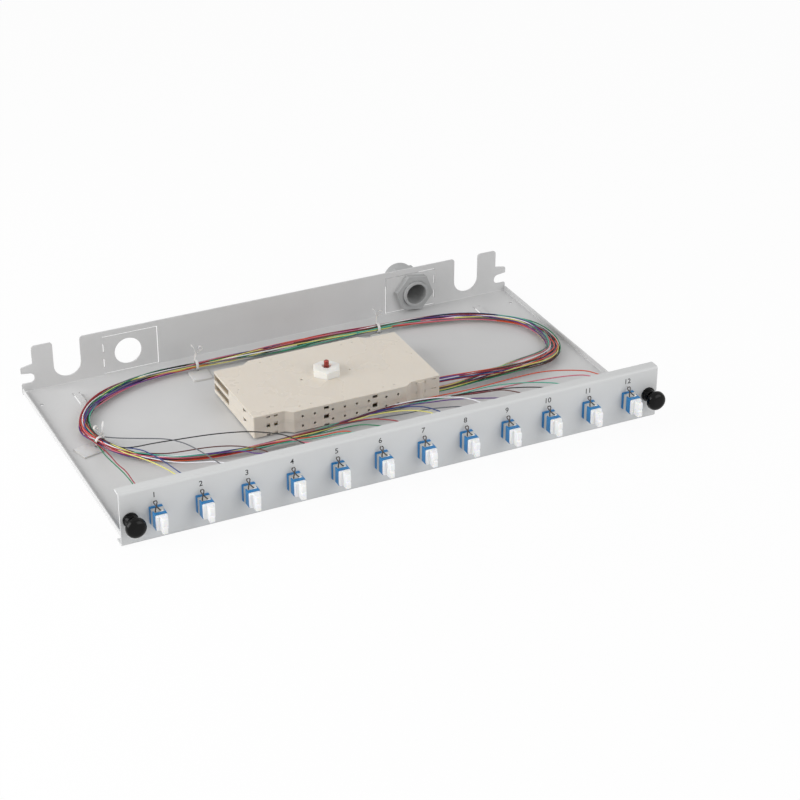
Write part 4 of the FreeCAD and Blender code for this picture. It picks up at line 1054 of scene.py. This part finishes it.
@dataclass
class StrandHarness:
    """The 24 strands: out of the trays, once round the drawer and to their connectors.

    A strand can leave the bundle from station first_exit on, and from station settled_from on the strands lie
    side by side in the order of TAILS. Each wanders across by a share of the bundle's half width.
    """

    tool: NodeTool
    diameter: float = 0.9
    sides: int = 8
    seed: int = 11
    wander: float = 0.16
    first_exit: int = 8
    settled_from: int = 20
    spread_rounds: int = 60
    mouth_y: float = 98.4
    mouth_lower: float = 6.0
    mouth_upper: float = 14.3
    fan_y: float = 100.9
    tail_level: float = 20.0
    boot_end: float = 35.7
    lead_end: float = 150.0
    bend_from: tuple = (80, 98, 16)
    bend_to: tuple = (146, 96, 16)
    made: list = field(default_factory=list)

    @staticmethod
    def middle(place_in_row: float, count: int) -> float:
        """Middle of one of several equal shares, from -1 to 1."""
        return -1 + 2 * (place_in_row + 0.5) / count

    def rank(self, index: int, order: str) -> float:
        """Finds a strand in an order; strands of one colour keep their own order.

        Args:
            index: Number of the strand.
            order: Letters of the strands from outside to inside.

        Returns:
            Its place across the bundle, from -1 outside to 1 inside.
        """
        colour = TAILS[index].colour
        same = [i for i, tail in enumerate(TAILS) if tail.colour is colour]
        spots = [at for at, letter in enumerate(order) if LETTERS[letter] is colour]
        return self.middle(spots[same.index(index)], len(order))

    def across(self, index: int, number: int) -> float:
        """Finds a strand's place across the bundle at a station, between the orders that are given.

        Args:
            index: Number of the strand.
            number: Number of the station.

        Returns:
            The place, from -1 outside to 1 inside.
        """
        settled = self.middle(index, len(TAILS))
        if number >= self.settled_from:
            return settled
        keys = sorted(ORDERS)
        places = [self.rank(index, ORDERS[key]) for key in keys] + [settled]
        keys.append(self.settled_from)
        later = next(i for i, key in enumerate(keys) if key > number)
        share = (number - keys[later - 1]) / (keys[later] - keys[later - 1])
        share = share * share * (3 - 2 * share)
        return places[later - 1] * (1 - share) + places[later] * share

    def offsets(self) -> list:
        """Places every strand within the bundle at every station.

        Returns:
            For each station a list with the offset across and upwards of each strand.
        """
        rng = random.Random(self.seed)
        waves = [
            [(rng.uniform(0.5, 1.7), rng.uniform(0, math.tau)) for _ in range(2)] for _ in TAILS
        ]
        result = []
        for number, station in enumerate(LOOP):
            spots = []
            for i, wave in enumerate(waves):
                sway, height = (math.sin(rate * number + phase) for rate, phase in wave)
                aside = self.across(i, number) + self.wander * sway
                spots.append(Vector((aside * station.half_width, height * station.half_height)))
            result.append(self.spread(spots, station))
        return result

    def spread(self, spots: list, station: Station) -> list:
        """Pushes strands apart until none shares another's room.

        Args:
            spots: Places of the strands, which are changed.
            station: The ellipse that they stay in.

        Returns:
            The same places.
        """
        width = station.half_width - self.diameter / 2 + 0.1
        height = station.half_height - self.diameter / 2 + 0.1
        for _ in range(self.spread_rounds):
            for i, here in enumerate(spots):
                for other in spots[i + 1 :]:
                    gap = here - other
                    lack = self.diameter * 1.03 - gap.length
                    if lack > 0:
                        push = gap.normalized() * lack / 2 if gap.length > 1e-6 else Vector((0.01, 0.02))
                        here += push
                        other -= push
            for here in spots:
                over = math.hypot(here.x / width, here.y / height)
                if over > 1:
                    here /= over
        return spots

    def control_points(self, index: int, tail: Tail, offsets: list) -> list:
        """Lists the control points of a strand from inside its tray to its boot.

        Args:
            index: Number of the strand.
            tail: Its run to the adapter.
            offsets: Places within the bundle at every station.

        Returns:
            Points in the panel's frame.
        """
        row, layer = divmod(index // 2, 4)
        entry_y = self.mouth_y + row
        entry_z = (self.mouth_upper if index % 2 == 1 else self.mouth_lower) + layer
        fan = offsets[0][index]
        points = [
            Vector((68, entry_y + 2, entry_z)),
            Vector((76, entry_y, entry_z)),
            Vector((90, entry_y - 0.6, entry_z)),
            Vector((120, self.fan_y + fan.x * 0.48, entry_z * 0.55 + 4.0 + fan.y * 0.4)),
        ]
        start = Vector(tail.points[0][:2])
        distances = [(Vector((s.x, s.y)) - start).length for s in LOOP[self.first_exit :]]
        last = self.first_exit + distances.index(min(distances))
        for number in range(last):
            station = LOOP[number]
            ahead = LOOP[number + 1]
            behind = LOOP[max(number - 1, 0)]
            along = Vector((ahead.x - behind.x, ahead.y - behind.y)).normalized()
            offset = offsets[number][index]
            spot = Vector((station.x, station.y)) + Vector((-along.y, along.x)) * offset.x
            points.append(Vector((spot.x, spot.y, station.z + offset.y)))
        points += [Vector(point) for point in tail.points]
        x = PORTS.x(tail.adapter)
        level = PORTS.height(tail.upper)
        aside = (points[-1].x - x) * 0.3
        points.append(Vector((x + aside, self.boot_end + 6.5, (level + self.tail_level) / 2)))
        points.append(Vector((x, self.boot_end + 2.5, level)))
        points.append(Vector((x, self.boot_end - 1.5, level)))
        return points

    def path(self, points: list) -> list:
        """Draws the smooth line that control points give.

        Args:
            points: Control points in the panel's frame.

        Returns:
            Points of the line in metres.
        """
        curve = bpy.data.curves.new("strand_line", "CURVE")
        curve.dimensions = "3D"
        curve.resolution_u = 6
        spline = curve.splines.new("NURBS")
        spline.points.add(len(points) - 1)
        for target, point in zip(spline.points, points):
            target.co = (*place(*point), 1)
        spline.order_u = 3
        spline.use_endpoint_u = True
        mesh = frozen_mesh(new_object("strand_line", curve), "strand_line")
        result = [v.co.copy() for v in mesh.vertices]
        bpy.data.meshes.remove(mesh)
        return result

    def jacket(self, name: str, line: list, colour: FibreColour) -> bpy.types.Mesh:
        """Draws a round jacket along a line.

        Args:
            name: Name of the mesh.
            line: Points in metres.
            colour: Colour of the jacket.

        Returns:
            The mesh.
        """
        curve = bpy.data.curves.new(name, "CURVE")
        curve.dimensions = "3D"
        spline = curve.splines.new("POLY")
        spline.points.add(len(line) - 1)
        for target, point in zip(spline.points, line):
            target.co = (*point, 1)
        return self.tool.apply(new_object(name, curve), name, {
            "Radius": self.diameter / 2000, "Sides": self.sides, "Material": fibre_material(colour),
        })

    def build(self) -> list:
        """Makes every strand, with the leads of the upper tray as one piece.

        Returns:
            The objects.
        """
        offsets = self.offsets()
        leads = []
        for index, tail in enumerate(TAILS):
            line = self.path(self.control_points(index, tail, offsets))
            name = f"strand_{index + 1:02d}_{tail.colour.name.lower()}"
            if index % 2 == 1:
                cut = next(i for i, p in enumerate(line) if p.x > self.lead_end / 1000)
                leads.append(self.jacket(f"{name}_lead", line[: cut + 1], tail.colour))
                line = line[cut:]
            thing = new_object(name, self.jacket(name, line, tail.colour))
            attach(thing, "drawer")
            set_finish(thing, "fibre_jacket")
            self.made.append(thing)
        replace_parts(self.made[0], "fibre_bundle", "fibre_pairs", "fibre_lead_lower")
        self.made.append(self.join_leads(leads))
        LOG.info("strands: %d pieces", len(self.made))
        return self.made

    def join_leads(self, meshes: list) -> bpy.types.Object:
        """Joins the upper tray's leads into one piece.

        Args:
            meshes: Mesh of each lead.

        Returns:
            The object.
        """
        points = []
        faces = []
        paint = []
        materials = []
        for mesh in meshes:
            base = len(points)
            points += [v.co.copy() for v in mesh.vertices]
            faces += [[base + i for i in p.vertices] for p in mesh.polygons]
            paint += [len(materials)] * len(mesh.polygons)
            materials.append(mesh.materials[0])
        joined = mesh_from("upper_tray_leads", points, faces)
        for material in materials:
            joined.materials.append(material)
        joined.polygons.foreach_set("material_index", paint)
        joined.shade_smooth()
        thing = new_object(joined.name, joined)
        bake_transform(thing)
        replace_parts(thing, "fibre_lead_upper")
        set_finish(thing, "fibre_jacket")
        return thing


@dataclass(frozen=True)
class ClipPlace:
    """One clip of the bundle, with its strap's free ends.

    Args:
        x: Its place along the panel.
        y: Its distance behind the panel's face.
        turn: Direction of the bundle there, in degrees.
        split: Where ring and leaf part, as distance from the bundle's middle and height.
        ring: Middle of the curled ring, likewise.
        leaf: Tip of the leaf, likewise.
        twist: Turn of the free ends about their root, in degrees.
    """

    x: float
    y: float
    turn: float
    split: tuple
    ring: tuple
    leaf: tuple
    twist: float = 0.0


@dataclass
class CableClips:
    """The moulded clips round the bundle with their curled straps, each on a foam pad."""

    floor: float = 2.7
    foam: float = 0.8
    web: float = 0.7
    tip_web: float = 0.56
    ring: float = 3.8
    ring_steps: int = 28
    centre_z: float = 7.7
    width: float = 2.2
    pad: float = 16.0
    curl: float = 1.7
    curl_steps: int = 11
    rounding: float = 0.12
    places: tuple = (
        ClipPlace(-189.5, 136.0, 104.04, (-2.5, 13.0), (2.7, 20.5), (-4.2, 24.5)),
        ClipPlace(-79.1, 220.15, 175.92, (-2.7, 16.5), (1.1, 20.3), (-6.5, 25.2), 90.0),
        ClipPlace(82.05, 216.8, 174.43, (-3.5, 16.7), (-0.4, 19.8), (-7.3, 24.6), 90.0),
    )

    @staticmethod
    def ribbon(
        work: bmesh.types.BMesh, path: list, widths: list, thickness: float, closed: bool = False
    ) -> None:
        """Adds a flat strap whose middle line is a path in the clip's upright plane.

        Args:
            work: Mesh that takes the strap.
            path: Points (y, z) of the middle line.
            widths: Width of the strap at each point.
            thickness: Its thickness.
            closed: Whether the ends meet.
        """
        rings = []
        count = len(path)
        for i, (y, z) in enumerate(path):
            before = path[(i - 1) % count] if closed or i > 0 else path[i]
            after = path[(i + 1) % count] if closed or i < count - 1 else path[i]
            along = Vector((after[0] - before[0], after[1] - before[1])).normalized()
            out = Vector((-along.y, along.x)) * thickness / 2
            half = widths[i] / 2
            corners = [
                (-half, y + out.x, z + out.y), (half, y + out.x, z + out.y),
                (half, y - out.x, z - out.y), (-half, y - out.x, z - out.y),
            ]
            rings.append([work.verts.new(corner) for corner in corners])
        join_rings(work, rings, closed)

    def free_ends(self, work: bmesh.types.BMesh, root: float, at: ClipPlace) -> None:
        """Adds the stem of the strap, its curled ring and its leaf.

        Args:
            work: Mesh that takes them.
            root: Place where the stem leaves the ring round the bundle.
            at: The clip.
        """
        z = self.centre_z
        fixed = set(work.verts)
        split = Vector(at.split)
        rise = split.y - z
        stem = [
            (root, z - 0.5), (root - 0.3, z + rise * 0.3), (root * 0.75 + split.x * 0.25, z + rise * 0.6),
            (root * 0.3 + split.x * 0.7, z + rise * 0.85), tuple(split),
        ]
        self.ribbon(work, stem, [self.width * share for share in (1, 1, 1.05, 1.1, 1)], self.web)
        centre = Vector(at.ring)
        away = split - centre
        first = math.atan2(away.y, away.x)
        side = 1 if centre.x > split.x else -1
        loop = [tuple(split - Vector((0, 0.6)))]
        for i in range(self.curl_steps):
            angle = first + side * math.radians(62 + 29 * i)
            loop.append((centre.x + self.curl * math.cos(angle), centre.y + self.curl * math.sin(angle)))
        self.ribbon(work, loop, [1.7] * 8 + [1.6, 1.4, 1.2, 0.9], self.tip_web)
        tip = Vector(at.leaf)
        leaf = []
        for share in (0, 0.25, 0.5, 0.75, 1):
            leaf.append(tuple(split.lerp(tip, share) + Vector((0, 1.6 * math.sin(math.pi * share) - 0.6))))
        self.ribbon(work, leaf, [1.6, 2.4, 2.9, 2.4, 1.0], self.tip_web)
        turned = [corner for corner in work.verts if corner not in fixed]
        spin = Matrix.Rotation(math.radians(at.twist), 3, "Z")
        bmesh.ops.rotate(work, cent=(0, root, 0), matrix=spin, verts=turned)

    def moulding(self, at: ClipPlace) -> bpy.types.Mesh:
        """Makes one clip in its own frame in millimetres: x along the bundle, y towards the pad.

        Args:
            at: The clip.

        Returns:
            Its mesh.
        """
        work = bmesh.new()
        mid = self.ring - self.web / 2 + 0.4
        angles = [math.tau * i / self.ring_steps for i in range(self.ring_steps)]
        circle = [(mid * math.cos(angle), self.centre_z + mid * math.sin(angle)) for angle in angles]
        self.ribbon(work, circle, [self.width] * self.ring_steps, self.web, closed=True)
        self.free_ends(work, -mid, at)
        near = mid - 1.0
        low = self.floor + self.foam
        high = low + self.web
        add_block(work, Vector((-self.pad / 2, near, low)), Vector((self.pad / 2, near + self.pad, high)))
        add_block(work, Vector((-self.width / 2, 0, low)), Vector((self.width / 2, near + 1.5, high)))
        bmesh.ops.recalc_face_normals(work, faces=work.faces)
        return mesh_of(work, "clip_moulding")

    def build(self) -> list:
        """Makes the three clips as one piece.

        Returns:
            The objects.
        """
        work = bmesh.new()
        for at in self.places:
            copy = self.moulding(at)
            spin = Matrix.Rotation(math.radians(at.turn), 4, "Z")
            copy.transform(Matrix.Translation(place(at.x, at.y, 0)) @ spin @ Matrix.Scale(0.001, 4))
            work.from_mesh(copy)
            bpy.data.meshes.remove(copy)
        thing = new_object("clips_shape", mesh_of(work, "cable_clips_bent"))
        round_edges(thing, self.rounding, sharper_than=50)
        done = frozen_mesh(thing, "cable_clips_bent")
        smooth(done, 40)
        done.materials.append(slot_material("clip_nylon"))
        made = [NODES.attach(new_object(done.name, done), "cable_clips")]
        LOG.info("cable clips: %d places", len(self.places))
        return made


@dataclass(frozen=True)
class Lamp:
    """Square white area lamp that looks at the drawer's middle.

    Args:
        name: Name of the lamp.
        at: Its position in metres.
        size: Length of its side in metres.
        watts: Its power.
    """

    name: str
    at: tuple
    size: float
    watts: float

    def build(self) -> None:
        """Hangs the lamp in the scene."""
        data = bpy.data.lights.new(self.name, "AREA")
        data.size = self.size
        data.energy = self.watts
        thing = bpy.data.objects.new(self.name, data)
        aim = (Vector((0, 0, 0.02)) - Vector(self.at)).to_track_quat("-Z", "Y")
        thing.matrix_world = Matrix.Translation(self.at) @ aim.to_matrix().to_4x4()
        bpy.context.scene.collection.objects.link(thing)


@dataclass
class Studio:
    """Camera, lamps, floor and surroundings of the product view.

    The camera stands at eye, in the panel's frame, and its angles are in degrees.
    """

    eye: tuple = (-591.27, -1216.56, 816.42)
    azimuth: float = -25.84
    elevation: float = 29.01
    roll: float = 0.15
    focal_px: float = 2118.34
    picture_px: int = 800
    sensor: float = 36.0
    room_light: float = 0.52
    floor_side: float = 12.0
    floor_gap: float = 0.2
    floor_white: float = 0.94
    lamps: tuple = (
        Lamp("Key lamp", (-1.2, 0.05, 0.55), 0.9, 12.0),
        Lamp("Fill lamp", (0.8, -1.4, 0.85), 1.3, 11.0),
    )

    def camera(self) -> None:
        """Sets up a camera that sees the drawer as the photograph does."""
        data = bpy.data.cameras.new("Camera")
        data.sensor_width = self.sensor
        data.lens = self.focal_px * self.sensor / self.picture_px
        data.clip_start = 0.05
        data.clip_end = 20
        a, e, r = (math.radians(v) for v in (self.azimuth, self.elevation, self.roll))
        back = Vector((math.sin(a) * math.cos(e), -math.cos(a) * math.cos(e), math.sin(e)))
        right = Vector((math.cos(a), math.sin(a), 0))
        up = back.cross(right)
        turned = right * math.cos(r) + up * math.sin(r)
        raised = up * math.cos(r) - right * math.sin(r)
        basis = Matrix((turned, raised, back)).transposed().to_4x4()
        thing = bpy.data.objects.new("Camera", data)
        thing.matrix_world = Matrix.Translation(place(*self.eye)) @ basis
        bpy.context.scene.collection.objects.link(thing)
        bpy.context.scene.camera = thing

    def surroundings(self) -> None:
        """Makes the room white for the camera and in reflections, and softer light for the rest."""
        world = bpy.data.worlds.new("Surroundings")
        world.use_nodes = True
        tree = world.node_tree
        tree.nodes.clear()
        strength = add_node(tree, "ShaderNodeMapRange", {
            "Value": seen_directly(tree), "To Min": self.room_light, "To Max": 1.0,
        })
        light = add_node(tree, "ShaderNodeBackground", {
            "Color": (1, 1, 1, 1), "Strength": strength.outputs[0],
        })
        add_node(tree, "ShaderNodeOutputWorld", {"Surface": light.outputs[0]})
        bpy.context.scene.world = world

    def floor(self) -> None:
        """Lays a white floor that keeps a soft part of the drawer's shadow."""
        half = self.floor_side / 2
        corners = [(-half, -half, 0), (half, -half, 0), (half, half, 0), (-half, half, 0)]
        mesh = mesh_from("studio_floor", corners, [(0, 1, 2, 3)])
        material = bpy.data.materials.new("Studio floor")
        material.use_nodes = True
        tree = material.node_tree
        tree.nodes.clear()
        share = add_node(tree, "ShaderNodeMath", {
            0: seen_directly(tree), 1: self.floor_white,
        }, operation="MULTIPLY")
        matt = add_node(tree, "ShaderNodeBsdfDiffuse", {"Color": linear("#F4F4F4")})
        white = add_node(tree, "ShaderNodeEmission", {"Color": (1, 1, 1, 1), "Strength": 1.0})
        mixed = add_node(tree, "ShaderNodeMixShader", {
            0: share.outputs[0], 1: matt.outputs[0], 2: white.outputs[0],
        })
        add_node(tree, "ShaderNodeOutputMaterial", {"Surface": mixed.outputs[0]})
        mesh.materials.append(material)
        thing = new_object("studio_floor", mesh)
        thing.location.z = -self.floor_gap / 1000

    def build(self) -> None:
        """Sets up the view."""
        self.camera()
        self.surroundings()
        self.floor()
        for lamp in self.lamps:
            lamp.build()
        bpy.context.scene.view_settings.view_transform = "Standard"
        LOG.info("studio: %d lamps", len(self.lamps))


class PatchDrawer:
    """The whole drawer."""

    def build(self) -> list:
        """Makes every sub-assembly and dresses what stays as CAD.

        Returns:
            The objects that stand for CAD nodes or add to them.
        """
        numbers = [f"{i:02d}" for i in range(1, PORTS.count + 1)]
        edges = {
            "front_panel": Edge.SHEET, "drawer_pan": Edge.SHEET, "rear_wall": Edge.SHEET,
            "splice_tray_lower": Edge.MOULDED, "splice_tray_upper": Edge.MOULDED, "splice_lid": Edge.MOULDED,
            "hand_nut": Edge.MOULDED, "gland_body": Edge.SMALL, "gland_locknut": Edge.SOFT,
            "gland_dome_nut": Edge.SMALL, "clip_foam_pads": Edge.SMALL, "pigtail_connectors": Edge.SMALL,
        }
        edges.update({f"adapter_body_{n}": Edge.SMALL for n in numbers})
        edges.update({f"dust_cap_{n}": Edge.MOULDED for n in numbers})
        made = RoundedParts(edges).build()
        made += PushLatches().build()
        made += NumberRow().build()
        made += AdapterFittings(row_tool()).build()
        made += StrandHarness(strand_tool()).build()
        made += CableClips().build()
        taken = {node for thing in made for node in thing.get("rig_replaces", [])}
        PlainParts().build(taken)
        return made


def corners(box: tuple[Vector, Vector]) -> list[list[float]]:
    """Turns a box into plain lists of numbers.

    Args:
        box: Lowest and highest corner, in metres.

    Returns:
        The two corners, each as three numbers.
    """
    return [[float(number) for number in corner] for corner in box]


def main() -> None:
    """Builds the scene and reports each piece."""
    for thing in PatchDrawer().build():
        LOG.info("%s: %d faces", thing.name, len(thing.data.polygons))
    Studio().build()


if __name__ == "__main__":
    main()
